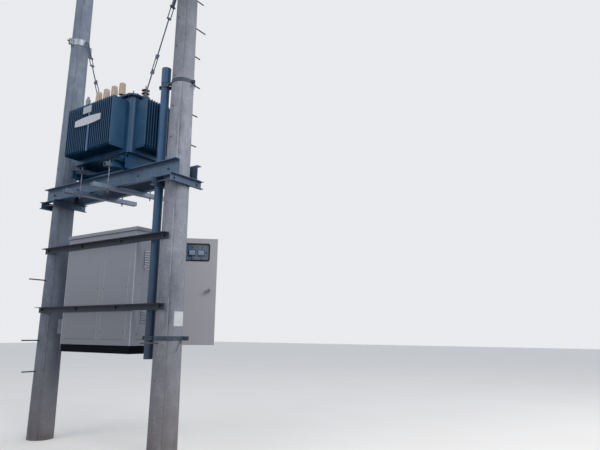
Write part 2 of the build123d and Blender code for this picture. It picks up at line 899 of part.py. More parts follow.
def make_roof():
    width = cabinet_width + 2 * roof_overhang
    depth = cabinet_depth + 2 * roof_overhang
    rise = roof_edge_height + roof_rise

    def hip(inset, drop):
        edge = Rectangle(width - 2 * inset, depth - 2 * inset)
        crown = Rectangle(width - 2 * inset - depth * roof_flat_share,
                          depth * (1 - roof_flat_share) - inset)
        band = extrude(edge, roof_edge_height - drop)
        return band + loft([Pos(0, 0, roof_edge_height - drop) * edge, Pos(0, 0, rise - drop) * crown])

    roof = hip(0, 0) - hip(cabinet_sheet, cabinet_sheet)
    opening = Rectangle(cabinet_width - 2 * cabinet_return, cabinet_depth - 2 * cabinet_return)
    ledge = extrude(Rectangle(width - cabinet_sheet, depth - cabinet_sheet) - opening, cabinet_sheet)
    return Pos(middle, (cabinet_front + cabinet_rear) / 2, cabinet_top) * (roof + ledge)


def make_floor():
    return block((cabinet_left + cabinet_sheet, cabinet_right - cabinet_sheet),
                 (cabinet_front + cabinet_sheet, cabinet_rear - cabinet_sheet),
                 (cabinet_bottom, cabinet_bottom + cabinet_sheet))


def make_plinth():
    width = cabinet_width - 2 * plinth_inset
    depth = cabinet_depth - 2 * plinth_inset
    outer = extrude(Rectangle(width, depth), plinth_height)
    opening = extrude(Rectangle(width - 2 * plinth_flange, depth - 2 * plinth_flange), plinth_height)
    web = extrude(Rectangle(width - 2 * plinth_wall, depth - 2 * plinth_wall),
                  plinth_height - 2 * plinth_wall)
    ring = outer - opening - Pos(0, 0, plinth_wall) * web
    place = Pos(middle, (cabinet_front + cabinet_rear) / 2, cabinet_bottom - plinth_height - seat_gap)
    return place * ring


# Rear frame, leaves and hinges

def make_rear_frame():
    frame = block((cabinet_left + cabinet_sheet, cabinet_right - cabinet_sheet),
                  (cabinet_rear - cabinet_sheet, cabinet_rear), (cabinet_bottom, cabinet_top))
    low = leaf_bottom + leaf_overlap
    high = leaf_top - leaf_overlap
    for side in (-1, 1):
        ends = sorted((middle + side * (post_width / 2 + leaf_overlap),
                       middle + side * (post_width / 2 + leaf_width - leaf_overlap)))
        rim = block((ends[0] - cabinet_sheet, ends[1] + cabinet_sheet),
                    (cabinet_rear - frame_return, cabinet_rear), (low - cabinet_sheet, high + cabinet_sheet))
        gap = block(ends, (cabinet_rear - 2 * frame_return, cabinet_rear + frame_return), (low, high))
        frame = frame + rim - gap
    for side in (-1, 1):
        pin_x = middle + side * (hinge_x - middle)
        for level in hinge_heights:
            frame += Pos(pin_x, hinge_y, level - knuckle_length / 2 - seat_gap) * Cylinder(
                knuckle_diameter / 2, knuckle_length)
            frame += block((pin_x - hinge_tab / 2, pin_x + hinge_tab / 2), (cabinet_rear, hinge_y),
                           (level - knuckle_length - seat_gap, level - seat_gap))
            frame += Pos(pin_x, hinge_y, level) * Cylinder(hinge_pin_diameter / 2, 2 * knuckle_length)
    return frame


def make_leaf():
    # The right leaf, closed, with the sheet on its outer side and folded edges all round.
    near = hinge_x - hinge_edge_gap
    far = near - leaf_width
    inner = hinge_y - leaf_thickness / 2
    outer = hinge_y + leaf_thickness / 2
    leaf = block((far, near), (inner, outer), (leaf_bottom, leaf_top))
    leaf -= block((far + leaf_sheet, near - leaf_sheet), (inner, outer - leaf_sheet),
                  (leaf_bottom + leaf_sheet, leaf_top - leaf_sheet))
    for level in hinge_heights:
        pin_place = Pos(hinge_x, hinge_y, level + knuckle_length / 2)
        leaf += pin_place * Cylinder(knuckle_diameter / 2, knuckle_length)
        leaf += block((near - leaf_sheet, hinge_x), (hinge_y - hinge_tab / 2, hinge_y + hinge_tab / 2),
                      (level, level + knuckle_length))
        leaf -= pin_place * Cylinder(hinge_pin_diameter / 2 + seat_gap, 2 * knuckle_length)
    return leaf


def make_left_leaf():
    return mirror(make_leaf(), about=Plane(origin=(middle, 0, 0), z_dir=(1, 0, 0)))


def opened(piece):
    return Pos(hinge_x, hinge_y, 0) * Rot(Z=-open_angle) * Pos(-hinge_x, -hinge_y, 0) * piece


def on_leaf(along, level, off_face=0):
    # A place on the closed right leaf: distance from the hinge, height, and distance off the outer face.
    return Pos(hinge_x - along, hinge_y + leaf_thickness / 2 + off_face, level)


def facing(sketch, thickness):
    # A flat shape that stands on the leaf's outer face, drawn upright.
    return extrude(Plane(origin=(0, 0, 0), x_dir=(-1, 0, 0), z_dir=(0, 1, 0)) * sketch, amount=thickness)


def window_shape(grow):
    return RectangleRounded(window_width + 2 * grow, window_height + 2 * grow, window_corner_radius + grow)


def make_door():
    cut = on_leaf(*window_centre, -leaf_sheet * 2) * facing(window_shape(-gasket_width), leaf_sheet * 3)
    door = make_leaf() - cut
    drill = Cylinder(handle_spindle / 2 + seat_gap, leaf_thickness)
    door -= on_leaf(handle_start, handle_level) * Rot(X=90) * drill
    return opened(door)


def make_gasket():
    ring = window_shape(0) - window_shape(-gasket_width - gasket_lip)
    return opened(on_leaf(*window_centre, seat_gap) * facing(ring, gasket_thickness))


def make_glass():
    pane = facing(window_shape(0), glass_thickness)
    return opened(on_leaf(*window_centre, -leaf_sheet - glass_thickness - seat_gap) * pane)


def make_instrument_panel():
    # A shallow box behind the glass; its bottom is the panel that carries the instruments.
    grow = instrument_box_margin
    width = window_width + 2 * grow
    height = window_height + 2 * grow
    depth = instrument_box_depth
    outer = facing(Rectangle(width, height), depth)
    inner = facing(Rectangle(width - 2 * leaf_sheet, height - 2 * leaf_sheet), depth)
    box = outer - Pos(0, leaf_sheet, 0) * inner
    for start in meter_starts:
        box -= panel_place(start, meter_centre_height) * facing(
            Rectangle(meter_body + 2 * seat_gap, meter_body + 2 * seat_gap), 4 * leaf_sheet)
    box = on_leaf(*window_centre, -leaf_sheet - seat_gap - depth) * box
    return box


def panel_place(along, level):
    # From the window's centre, just behind the panel's sheet.
    return Pos(window_centre[0] - along, -leaf_sheet, level - window_centre[1])


def make_meters():
    made = []
    for start in meter_starts:
        place = on_leaf(start, meter_centre_height, panel_face)
        front = facing(RectangleRounded(meter_size, meter_size, meter_corner_radius), meter_depth)
        dial = Pos(0, meter_depth - dial_depth, 0) * facing(
            Pos(0, dial_rise) * Rectangle(dial_width, dial_height), 2 * dial_depth)
        body = Pos(0, -meter_body_depth, 0) * facing(Rectangle(meter_body, meter_body), meter_body_depth)
        made.append(opened(place * (front - dial + body)))
    return made


def make_lamps():
    made = []
    collar = facing(Circle(lamp_radius), lamp_depth / 2)
    lamp = collar + Pos(0, lamp_depth / 2, 0) * facing(Circle(lamp_dome_radius), lamp_depth / 2)
    for start in lamp_starts:
        made.append(opened(on_leaf(start, window_bottom + lamp_rise, panel_face) * lamp))
    selector = facing(Circle(selector_radius), lamp_depth / 2)
    selector += facing(Rectangle(*selector_grip), lamp_depth)
    made.append(opened(on_leaf(selector_start, window_bottom + selector_rise, panel_face) * selector))
    knobs = [(start, knob_rise, knob_radius) for start in meter_starts]
    knobs.append((small_knob_start, small_knob_rise, small_knob_radius))
    for start, rise, radius in knobs:
        knob = facing(Circle(radius), knob_depth)
        made.append(opened(on_leaf(start, window_bottom + rise, panel_face) * knob))
    return made


def make_handle():
    rose = facing(Circle(handle_rose_radius), handle_rose_thickness)
    neck = facing(Circle(handle_spindle / 2 + handle_neck), handle_stand_off)
    tip = Pos(-handle_lever_length, -handle_lever_drop) * Circle(handle_tip_width / 2)
    arm = make_hull([Circle(handle_lever_width / 2).edge(), tip.edge()])
    lever = Pos(0, handle_stand_off, 0) * facing(arm, handle_lever_thickness)
    spindle = Pos(0, -leaf_thickness, 0) * facing(Circle(handle_spindle / 2), leaf_thickness)
    latch = Pos(latch_length / 2, 0) * Rectangle(latch_length, latch_width)
    tongue = Pos(0, -leaf_thickness, 0) * facing(latch, latch_thickness)
    handle = rose + neck + lever + spindle + tongue
    return opened(on_leaf(handle_start, handle_level, seat_gap) * handle)


# Switchgear

def make_mounting_plate():
    left = cabinet_left + board_margin
    right = cabinet_right - board_margin
    low = cabinet_bottom + board_margin
    high = cabinet_top - board_margin
    front = cabinet_front + cabinet_sheet + seat_gap
    face = cabinet_front + board_offset
    board = block((left, right), (front, face + board_thickness), (low, high))
    board -= block((left + board_thickness, right - board_thickness), (front, face), (low, high))
    return board


def make_switchgear():
    breaker = switch_case((breaker_width, breaker_depth, breaker_height), breaker_mask, breaker_toggle,
                          breaker_toggle_rise)
    made = [Pos(middle - breaker_side, switch_face, cabinet_bottom + breaker_rise) * breaker]
    feeder = switch_case((feeder_width, feeder_depth, feeder_height), feeder_mask, feeder_toggle,
                         feeder_toggle_rise)
    first = middle - (feeder_count - 1) / 2 * feeder_pitch
    level = cabinet_bottom + feeder_rise
    for number in range(feeder_count):
        made.append(Pos(first + number * feeder_pitch, switch_face, level) * feeder)
    return made


def switch_case(size, mask, toggle, rise):
    # A moulded case that stands on the board, with a toggle in the recess of its face.
    case = Pos(0, size[1] / 2, 0) * Box(*size) - Pos(0, size[1], 0) * Box(*mask)
    return case + Pos(0, size[1] - toggle_sink, rise) * Box(*toggle)


def make_busbars():
    length = feeder_pitch * feeder_count
    made = []
    for number in range(3):
        level = cabinet_bottom + busbar_rise + (number - 1) * busbar_pitch
        bar = Pos(middle, switch_face + busbar_support_depth + busbar_thickness / 2, level) * Box(
            length, busbar_thickness, busbar_height)
        support = Box(busbar_support_width, busbar_support_depth, busbar_height)
        for x in (middle - busbar_support_offset, middle + busbar_support_offset):
            bar += Pos(x, switch_face + busbar_support_depth / 2, level) * support
        made.append(bar)
    return made


# Cable riser and its clamps

def make_riser():
    socket_start = riser_top - riser_socket_length
    taper = (riser_socket_diameter - riser_diameter) / 2
    outer = riser_diameter / 2
    inner = outer - riser_wall
    taper_start = socket_start - 2 * taper
    outline = [(inner, riser_bottom), (outer, riser_bottom), (outer, taper_start),
               (outer + taper, socket_start), (outer + taper, riser_top), (inner + taper, riser_top),
               (inner + taper, socket_start), (inner, taper_start)]
    pipe = revolve(Plane.XZ * make_face(Polyline(*outline, close=True)), Axis.Z)
    return Pos(*riser_centre, 0) * pipe


def strap_outline(level, grow):
    # The strap's way round the pole and the pipe, drawn in at its waist and seen from above.
    pole_circle = pole_radius(level - riser_band_width / 2) + seat_gap + grow
    pipe_circle = Pos(riser_reach, 0) * Circle(riser_diameter / 2 + seat_gap + grow)
    waist_circle = Circle(riser_waist_width / 2 + grow)
    outline = Circle(pole_circle) + make_hull([waist_circle.edge(), pipe_circle.edge()])
    corners = [v for v in outline.vertices() if abs(math.hypot(v.X, v.Y) - pole_circle) < seat_gap]
    return fillet(corners, riser_waist_bend - grow)


def ear_shape(start, length, width):
    return Pos(start + length / 2, 0) * Rectangle(length, width)


def clamp_bolt(x, half):
    # A bolt across the strap, with its head on one side and its nut on the other.
    head = (x, -half - riser_nut_thickness, 0)
    bolt = bar_between(head, (x, half + riser_nut_thickness + riser_bolt_tail, 0), riser_bolt_diameter / 2)
    for start in (head, (x, half, 0)):
        bolt += hexagon_nut(start, (0, 1, 0), riser_nut_across_flats, riser_nut_thickness)
    return bolt


def make_riser_clamps():
    made = []
    angle = math.degrees(math.atan2(riser_offset[1], riser_offset[0]))
    thickness = riser_band_thickness
    ear_half = riser_ear_gap / 2 + riser_ear_thickness
    for level, pole_ear_length, turn in riser_clamp_places:
        pole_inner = pole_radius(level - riser_band_width / 2) + seat_gap
        pipe_inner = riser_diameter / 2 + seat_gap
        ears = ((Rot(Z=180 + turn), pole_inner, pole_ear_length),
                (Pos(riser_reach, 0), pipe_inner, pipe_ear_length))
        flat = strap_outline(level, thickness)
        for place, inner, length in ears:
            flat += place * ear_shape(inner, thickness + length, 2 * ear_half)
        flat -= strap_outline(level, 0)
        for place, inner, length in ears:
            flat -= place * ear_shape(inner - thickness, length + 3 * thickness, riser_ear_gap)
        clamp = extrude(flat, riser_band_width / 2, both=True)
        for place, inner, length in ears:
            clamp += place * clamp_bolt(inner + thickness + length / 2, ear_half)
        waist = (pole_inner + riser_reach - pipe_inner) / 2
        slope = (pipe_inner - riser_waist_width / 2) / riser_reach
        clamp += clamp_bolt(waist, riser_waist_width / 2 + thickness + waist * slope)
        made.append(Pos(pole_spacing, 0, level) * Rot(Z=angle) * clamp)
    return made


# Stays from the poles down to the lid

def stay_top(side):
    level = stay_collar_levels[0] if side < 0 else stay_collar_levels[1]
    pole_x = 0 if side < 0 else pole_spacing
    return Vector(pole_x - side * (pole_radius(level) + collar_thickness + collar_lug_reach), 0, level)


def make_collars():
    made = []
    for side in (-1, 1):
        top = stay_top(side)
        level = top.Z
        pole_x = 0 if side < 0 else pole_spacing
        inner = pole_radius(level - collar_height / 2) + seat_gap
        outer = inner + collar_thickness
        ears = Rectangle(2 * ear_thickness + ear_gap, 2 * (outer + ear_length))
        flat = Circle(outer) + ears - Circle(inner) - Rectangle(ear_gap, 2 * (outer + 2 * ear_length))
        collar = extrude(flat, collar_height / 2, both=True)
        for y in (-outer - ear_length / 2, outer + ear_length / 2):
            for z in (-collar_height / 2 + ear_bolt_inset, collar_height / 2 - ear_bolt_inset):
                half = ear_gap / 2 + ear_thickness
                end = half + ear_nut_thickness
                collar += bar_between((-end - ear_bolt_tail, y, z), (end, y, z), ear_bolt_diameter / 2)
                for x in (-end, half):
                    collar += hexagon_nut((x, y, z), (1, 0, 0), ear_nut_across_flats, ear_nut_thickness)
        reach = outer - collar_weld_depth
        outline = RectangleRounded(collar_lug_reach + link_width / 2, link_width + collar_lug_margin,
                                   link_width / 2 - collar_weld_depth)
        lug = Pos(-side * (reach + (collar_lug_reach + link_width / 2) / 2), 0) * outline
        plate = extrude(Plane.XZ * lug, collar_lug_thickness / 2, both=True)
        hole = -side * (pole_radius(level) + collar_thickness + collar_lug_reach)
        drill = Cylinder(stay_pin_diameter / 2 + seat_gap, 4 * collar_lug_thickness)
        plate -= Pos(hole, 0, 0) * Rot(X=90) * drill
        made.append(Pos(pole_x, 0, level) * (collar + plate))
    return made


def cross_slot(start, length, width, inner, thickness):
    # A flat link across the stay's own X axis, with round ends centred on its two holes.
    shape = Pos(0, start + length / 2) * Rot(Z=90) * SlotCenterToCenter(length, width)
    return Pos(inner, 0, 0) * extrude(Plane.YZ * shape, amount=thickness)


def make_stay(side):
    top = stay_top(side)
    bottom = lug_point(side)
    direction = Vector(*bottom) - top
    length = direction.length
    gap = collar_lug_thickness / 2 + pin_clearance
    lug_gap = lug_thickness / 2 + pin_clearance
    stay = cross_slot(0, link_length, link_width, gap, link_thickness)
    stay += cross_slot(0, link_length, link_width, -gap - link_thickness, link_thickness)
    stay += pin_across(0, gap + link_thickness)
    stay += Rot(Y=90) * Pos(-link_length, 0, 0) * Cylinder(link_width / 2, 2 * gap)
    stay += pin_across(link_length, shackle_offset + shackle_bar / 2) + shackle(link_length)
    fork_start = length - fork_reach
    stay += bar_between((0, 0, link_length + shackle_length), (0, 0, fork_start), stay_rod_diameter / 2)
    body_start = length - turnbuckle_distance
    stay -= Pos(0, 0, body_start + turnbuckle_length / 2) * Cylinder(stay_rod_diameter, turnbuckle_gap)
    stay += turnbuckle(body_start)
    block_middle = fork_start + fork_block / 2
    stay += Pos(0, 0, block_middle) * Box(2 * (lug_gap + link_thickness), link_width, fork_block)
    for low in (lug_gap, -lug_gap - link_thickness):
        stay += cross_slot(block_middle, length - block_middle, link_width, low, link_thickness)
    stay += pin_across(length, lug_gap + link_thickness)
    plane = Plane(origin=top, x_dir=(0, 1, 0), z_dir=direction.normalized())
    return plane * stay


def pin_across(level, half):
    end = half + stay_pin_nut + stay_pin_tail
    pin = bar_between((-half - stay_pin_head, 0, level), (end, 0, level), stay_pin_diameter / 2)
    pin += hexagon_nut((-half - stay_pin_head, 0, level), (1, 0, 0), nut_across_flats, stay_pin_head)
    return pin + hexagon_nut((half, 0, level), (1, 0, 0), nut_across_flats, stay_pin_nut)


def shackle(level):
    # Two legs with eyes on the long pin, and a block that takes the rod.
    width, height = shackle_block
    body = Pos(0, 0, level + shackle_length) * Box(2 * shackle_offset + shackle_bar, width, height)
    for side in (-1, 1):
        x = side * shackle_offset
        body += bar_between((x, 0, level), (x, 0, level + shackle_length), shackle_bar / 2)
        body += Pos(x, 0, level) * Rot(Y=90) * Cylinder(shackle_eye_radius, shackle_bar)
    return body


def turnbuckle(start):
    body = None
    end = start + turnbuckle_length
    for side in (-1, 1):
        y = side * turnbuckle_half
        rail = bar_between((0, y, start), (0, y, end), shackle_bar / 2)
        body = rail if body is None else body + rail
    for level in (start, end - turnbuckle_boss):
        body += Pos(0, 0, level + turnbuckle_boss / 2) * Box(
            shackle_bar + turnbuckle_boss_margin, 2 * turnbuckle_half + shackle_bar, turnbuckle_boss)
    return body


def main():
    os.makedirs("parts", exist_ok=True)
    save("left_pole", [make_pole(0)])
    save("right_pole", [make_pole(pole_spacing)])
    save("climbing_pins", make_pins(0, left_pins) + make_pins(pole_spacing, right_pins))
    save("beams", [make_beam(-1), make_beam(1)])
    save("saddles", make_saddles(0) + make_saddles(pole_spacing))
    save("through_bolts", make_beam_bolts() + make_saddle_bolts() + make_bar_bolts())
    save("tank", [make_tank()])
    save("lid", [make_lid()])
    save("fin_walls", make_fin_walls())
    save("plate_strip", [make_plate_strip()])
    save("name_plate", [make_name_plate()])
    save("rating_plate", [make_rating_plate()])
    save("base_frame", [make_base_frame()])
    save("rollers", make_rollers())
    save("clamp_bars", make_clamps(upper_clamp_length, cross_top + clamp_height, -1)
         + make_clamps(lower_clamp_length, beam_level - clamp_height, 1))
    save("hold_down_rods", make_hold_down_rods())
    save("lv_bushings", make_lv_bushings())
    save("bushing_caps", make_bushing_caps())
    save("hv_bushings", make_hv_bushings())
    save("cable_gland", [make_cable_gland()])
    save("lifting_lugs", make_lifting_lugs())
    save("cross_bars", make_cross_bars())
    save("cabinet_front_wall", [make_front_wall()])
    save("cabinet_left_wall", [make_side_wall(-1)])
    save("cabinet_right_wall", [make_side_wall(1)])
    save("cabinet_roof", [make_roof()])
    save("cabinet_floor", [make_floor()])
    save("cabinet_plinth", [make_plinth()])
    save("cabinet_rear_frame", [make_rear_frame()])
    save("cabinet_left_leaf", [make_left_leaf()])
    save("mounting_plate", [make_mounting_plate()])
    save("switchgear", make_switchgear())
    save("busbars", make_busbars())
    save("cabinet_door", [make_door()])
    save("window_gasket", [make_gasket()])
    save("window_glass", [make_glass()])
    save("instrument_panel", [opened(make_instrument_panel())])
    save("meters", make_meters())
    save("panel_lamps", make_lamps())
    save("door_handle", [make_handle()])
    save("riser_pipe", [make_riser()])
    save("riser_clamps", make_riser_clamps())
    save("stay_collars", make_collars())
    save("stays", [make_stay(-1), make_stay(1)])


if __name__ == "__main__":
    main()
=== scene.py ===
import math
import bpy
import bmesh
from mathutils import Matrix, Vector


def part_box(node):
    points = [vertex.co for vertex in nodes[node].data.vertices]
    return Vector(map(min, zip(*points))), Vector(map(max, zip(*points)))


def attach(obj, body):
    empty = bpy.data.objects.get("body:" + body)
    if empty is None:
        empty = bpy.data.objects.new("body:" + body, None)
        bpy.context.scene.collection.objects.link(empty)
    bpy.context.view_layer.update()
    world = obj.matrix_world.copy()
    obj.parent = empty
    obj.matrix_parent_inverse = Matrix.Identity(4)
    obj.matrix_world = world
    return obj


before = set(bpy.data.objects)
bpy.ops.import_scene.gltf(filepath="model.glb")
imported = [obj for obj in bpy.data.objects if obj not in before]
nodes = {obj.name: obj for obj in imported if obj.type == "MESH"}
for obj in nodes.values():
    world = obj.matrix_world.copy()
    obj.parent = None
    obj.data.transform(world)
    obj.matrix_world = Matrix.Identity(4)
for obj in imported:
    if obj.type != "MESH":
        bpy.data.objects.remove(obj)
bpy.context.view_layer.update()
print("frame loaded:", len(nodes), "nodes")

poleCentres = {"left": 0.0, "right": 2.43}    # where the poles stand along X


# colours and node helpers

def fromRgb(red, green, blue):
    # screen colour 0..255 to the linear values that sockets take
    def one(value):
        value = value / 255
        return value / 12.92 if value <= 0.04045 else ((value + 0.055) / 1.055) ** 2.4
    return (one(red), one(green), one(blue), 1.0)


class Paint:
    # a small wrapper that lays nodes out in rows of eight

    def __init__(self, name):
        self.material = bpy.data.materials.new(name)
        self.material.use_nodes = True
        self.tree = self.material.node_tree
        self.tree.nodes.clear()
        self.column = 0
        self.out = self.add("ShaderNodeOutputMaterial")
        self.shader = self.add("ShaderNodeBsdfPrincipled")
        self.link(self.shader.outputs[0], self.out.inputs["Surface"])
        self.coords = self.add("ShaderNodeTexCoord")
        self.place = self.coords.outputs["Object"]

    def add(self, kind):
        node = self.tree.nodes.new(kind)
        self.column += 1
        node.location = (-220 * (self.column % 8), -180 * (self.column // 8))
        return node

    def link(self, start, end):
        self.tree.links.new(start, end)

    def stretched(self, scale):
        node = self.add("ShaderNodeMapping")
        node.inputs["Scale"].default_value = scale
        self.link(self.place, node.inputs["Vector"])
        return node.outputs[0]

    def noise(self, scale, detail=3.0, rough=0.55, vector=None):
        node = self.add("ShaderNodeTexNoise")
        node.inputs["Scale"].default_value = scale
        node.inputs["Detail"].default_value = detail
        node.inputs["Roughness"].default_value = rough
        self.link(vector or self.place, node.inputs["Vector"])
        return node.outputs["Fac"]

    def cells(self, scale, what="Color"):
        node = self.add("ShaderNodeTexVoronoi")
        node.inputs["Scale"].default_value = scale
        self.link(self.place, node.inputs["Vector"])
        return node.outputs[what]

    def ramp(self, value, low, high, first=0.0, last=1.0):
        node = self.add("ShaderNodeMapRange")
        node.inputs["From Min"].default_value = low
        node.inputs["From Max"].default_value = high
        node.inputs["To Min"].default_value = first
        node.inputs["To Max"].default_value = last
        self.link(value, node.inputs["Value"])
        return node.outputs[0]

    def math(self, how, first, second=None):
        node = self.add("ShaderNodeMath")
        node.operation = how
        for socket, value in zip(node.inputs, (first, second)):
            if value is None:
                continue
            if isinstance(value, (int, float)):
                socket.default_value = value
            else:
                self.link(value, socket)
        return node.outputs[0]

    def mix(self, factor, first, second, how="MIX"):
        node = self.add("ShaderNodeMix")
        node.data_type = "RGBA"
        node.blend_type = how
        for socket, value in ((node.inputs[0], factor), (node.inputs[6], first), (node.inputs[7], second)):
            if isinstance(value, (int, float, tuple)):
                socket.default_value = value
            else:
                self.link(value, socket)
        return node.outputs[2]

    def layer(self, tone, value, span, colour):
        # a colour laid over the tone where a value runs through a span
        return self.mix(self.ramp(value, *span), tone, colour)

    def axis(self, which, vector=None):
        node = self.add("ShaderNodeSeparateXYZ")
        self.link(vector or self.place, node.inputs[0])
        return node.outputs[which]

    def bump(self, height, strength, distance, under=None):
        node = self.add("ShaderNodeBump")
        node.inputs["Strength"].default_value = strength
        node.inputs["Distance"].default_value = distance
        self.link(height, node.inputs["Height"])
        if under is not None:
            self.link(under, node.inputs["Normal"])
        return node.outputs[0]

    def facing(self, low, high):
        # how far the surface faces upwards, for dust that settles
        node = self.add("ShaderNodeNewGeometry")
        return self.ramp(self.axis("Z", node.outputs["Normal"]), low, high)

    def finish(self, colour, rough, normal=None, **values):
        self.feed(colour, "Base Color")
        self.feed(rough, "Roughness")
        if normal is not None:
            self.link(normal, self.shader.inputs["Normal"])
        for key, value in values.items():
            self.shader.inputs[key].default_value = value
        return self.material

    def feed(self, value, name):
        if isinstance(value, (int, float, tuple)):
            self.shader.inputs[name].default_value = value
        else:
            self.link(value, self.shader.inputs[name])


# In the looks below, a noise is its scale, detail and roughness, a span is low, high, first and last as ramp
# takes them, and a bump is strength and distance.

# spun concrete: mould seam with a stain beside it, cloudy mottling, pits, and grime near the ground; painted
# light too: one half of the pole painted lighter, painted shade low down and towards the top, and a warm
# painted bounce light from the ground near its foot

concreteLook = {"seamAngle": 45, "seamWidth": 0.003, "seamCore": 0.4, "seamBroken": (0.4, 0.56, 0.35, 0.9),
                "halfBlend": 0.01, "litHalfShare": 0.12, "streaks": (1.0, 5.0, 0.6),
                "streakStretch": (16, 16, 0.7), "clouds": (2.2, 6.0, 0.62), "mottle": (8.0, 8.0, 0.78),
                "mottleStretch": (1, 1, 0.7), "blotches": (4.5, 6.0, 0.72), "blotchStretch": (1, 1, 0.4),
                "speckles": (48.0, 5.0, 0.8), "fine": (140, 2.0, 0.6), "pitScale": 95,
                "cloudLight": (0.34, 0.66), "mottleDark": (0.42, 0.6, 0.0, 0.6),
                "mottlePale": (0.36, 0.46, 0.4, 0.0), "speckleStain": (0.5, 0.66, 0.0, 0.5),
                "streakStain": (0.42, 0.68, 0.0, 0.1), "blotchStain": (0.54, 0.66, 0.0, 0.5),
                "fineLight": (0.3, 0.7, 0.0, 0.16), "pitStain": (0.0, 0.1, 0.3, 0.0),
                "besideSeam": (0.0, 0.06, 0.5, 0.0), "besideBlotch": (0.4, 0.62),
                "limeGap": 0.016, "limeSpan": (0.0, 0.010, 0.7, 0.0),
                "limeCloud": (0.5, 0.58), "shadeHeights": (2.1, 3.6), "topHeights": (4.4, 6.2),
                "bounceTint": (0.3, 1.8, 0.36, 0.0), "bounceColour": fromRgb(142, 124, 108),
                "grime": (0.0, 0.5, 0.55, 0.0), "grimeNoise": (9.0, 4.0), "grimePatches": (0.35, 0.65),
                "grimeColour": fromRgb(88, 80, 72), "seamBump": (0.6, 0.003), "fineBump": (0.35, 0.0015),
                "mottleBump": (0.25, 0.004), "pitEdge": (0.0, 0.12), "pitBump": (0.3, 0.001),
                "rough": (0.3, 0.7, 0.82, 0.94), "sheen": 0.3}


def makeConcrete(name, centre, pale, light, dark, stain, lowShade, topShade):
    p = Paint(name)
    look = concreteLook
    shift = p.add("ShaderNodeVectorMath")
    shift.operation = "SUBTRACT"
    shift.inputs[1].default_value = (centre, 0, 0)
    p.link(p.place, shift.inputs[0])
    turn = p.add("ShaderNodeMapping")
    turn.inputs["Rotation"].default_value = (0, 0, math.radians(look["seamAngle"]))
    p.link(shift.outputs[0], turn.inputs["Vector"])
    across = p.axis("Y", turn.outputs[0])
    away = p.math("ABSOLUTE", across)
    seam = p.ramp(away, look["seamWidth"] * look["seamCore"], look["seamWidth"], 1.0, 0.0)
    litHalf = p.ramp(across, -look["halfBlend"], look["halfBlend"])
    streaks = p.noise(*look["streaks"], p.stretched(look["streakStretch"]))
    clouds = p.noise(*look["clouds"])
    mottle = p.noise(*look["mottle"], p.stretched(look["mottleStretch"]))
    blotches = p.noise(*look["blotches"], p.stretched(look["blotchStretch"]))
    speckles = p.noise(*look["speckles"])
    fine = p.noise(*look["fine"])
    pits = p.cells(look["pitScale"], "Distance")
    tone = p.layer(dark, clouds, look["cloudLight"], light)
    for value, span, colour in ((mottle, "mottleDark", dark), (mottle, "mottlePale", pale),
                                (speckles, "speckleStain", stain), (streaks, "streakStain", stain),
                                (blotches, "blotchStain", stain), (fine, "fineLight", light),
                                (pits, "pitStain", stain)):
        tone = p.layer(tone, value, look[span], colour)
    # painted light: the half of the pole on one side of the seam is painted lighter
    tone = p.mix(p.math("MULTIPLY", litHalf, look["litHalfShare"]), tone, light)
    beside = p.math("MULTIPLY", p.ramp(away, *look["besideSeam"]), p.ramp(blotches, *look["besideBlotch"]))
    tone = p.mix(beside, tone, stain)
    limeAway = p.math("ABSOLUTE", p.math("ADD", across, look["limeGap"]))
    lime = p.math("MULTIPLY", p.ramp(limeAway, *look["limeSpan"]), p.ramp(clouds, *look["limeCloud"]))
    tone = p.mix(lime, tone, pale)
    tone = p.mix(p.math("MULTIPLY", seam, p.ramp(mottle, *look["seamBroken"])), tone, stain)
    height = p.axis("Z")
    lower = p.ramp(height, *look["shadeHeights"], lowShade, 1.0)
    upper = p.ramp(height, *look["topHeights"], 1.0, topShade)
    tone = p.mix(1.0, tone, p.math("MULTIPLY", lower, upper), "MULTIPLY")
    # painted light: a warm bounce light from the ground, painted over the pole's foot and fading out by 1.8 m
    tone = p.layer(tone, height, look["bounceTint"], look["bounceColour"])
    patches = p.ramp(p.noise(*look["grimeNoise"]), *look["grimePatches"])
    tone = p.mix(p.math("MULTIPLY", p.ramp(height, *look["grime"]), patches), tone, look["grimeColour"])
    normal = p.bump(seam, *look["seamBump"])
    normal = p.bump(fine, *look["fineBump"], normal)
    normal = p.bump(mottle, *look["mottleBump"], normal)
    normal = p.bump(p.ramp(pits, *look["pitEdge"]), *look["pitBump"], normal)
    return p.finish(tone, p.ramp(clouds, *look["rough"]), normal, **{"Specular IOR Level": look["sheen"]})


# zinc spangle with runs and a few rust spots; blackened is how dark the bolts below the beams are

zincLook = {"spangleScale": 85, "clouds": (5.0, 4.0, 0.6), "runs": (1.0, 4.0, 0.6), "runStretch": (38, 38, 3),
            "spots": (22.0, 5.0, 0.7), "grain": (260.0, 2.0), "spangleLight": (0.0, 1.0, 0.15, 0.75),
            "cloudDark": (0.4, 0.7, 0.0, 0.5), "runLight": (0.5, 0.75, 0.0, 0.35), "rustFrom": (0.66, 0.76),
            "rustColour": fromRgb(112, 84, 62), "boltHeights": (2.85, 2.95), "boltBlack": fromRgb(34, 40, 50),
            "grainBump": (0.18, 0.0006), "cloudBump": (0.12, 0.003), "smoother": 0.08, "rougher": 0.12}


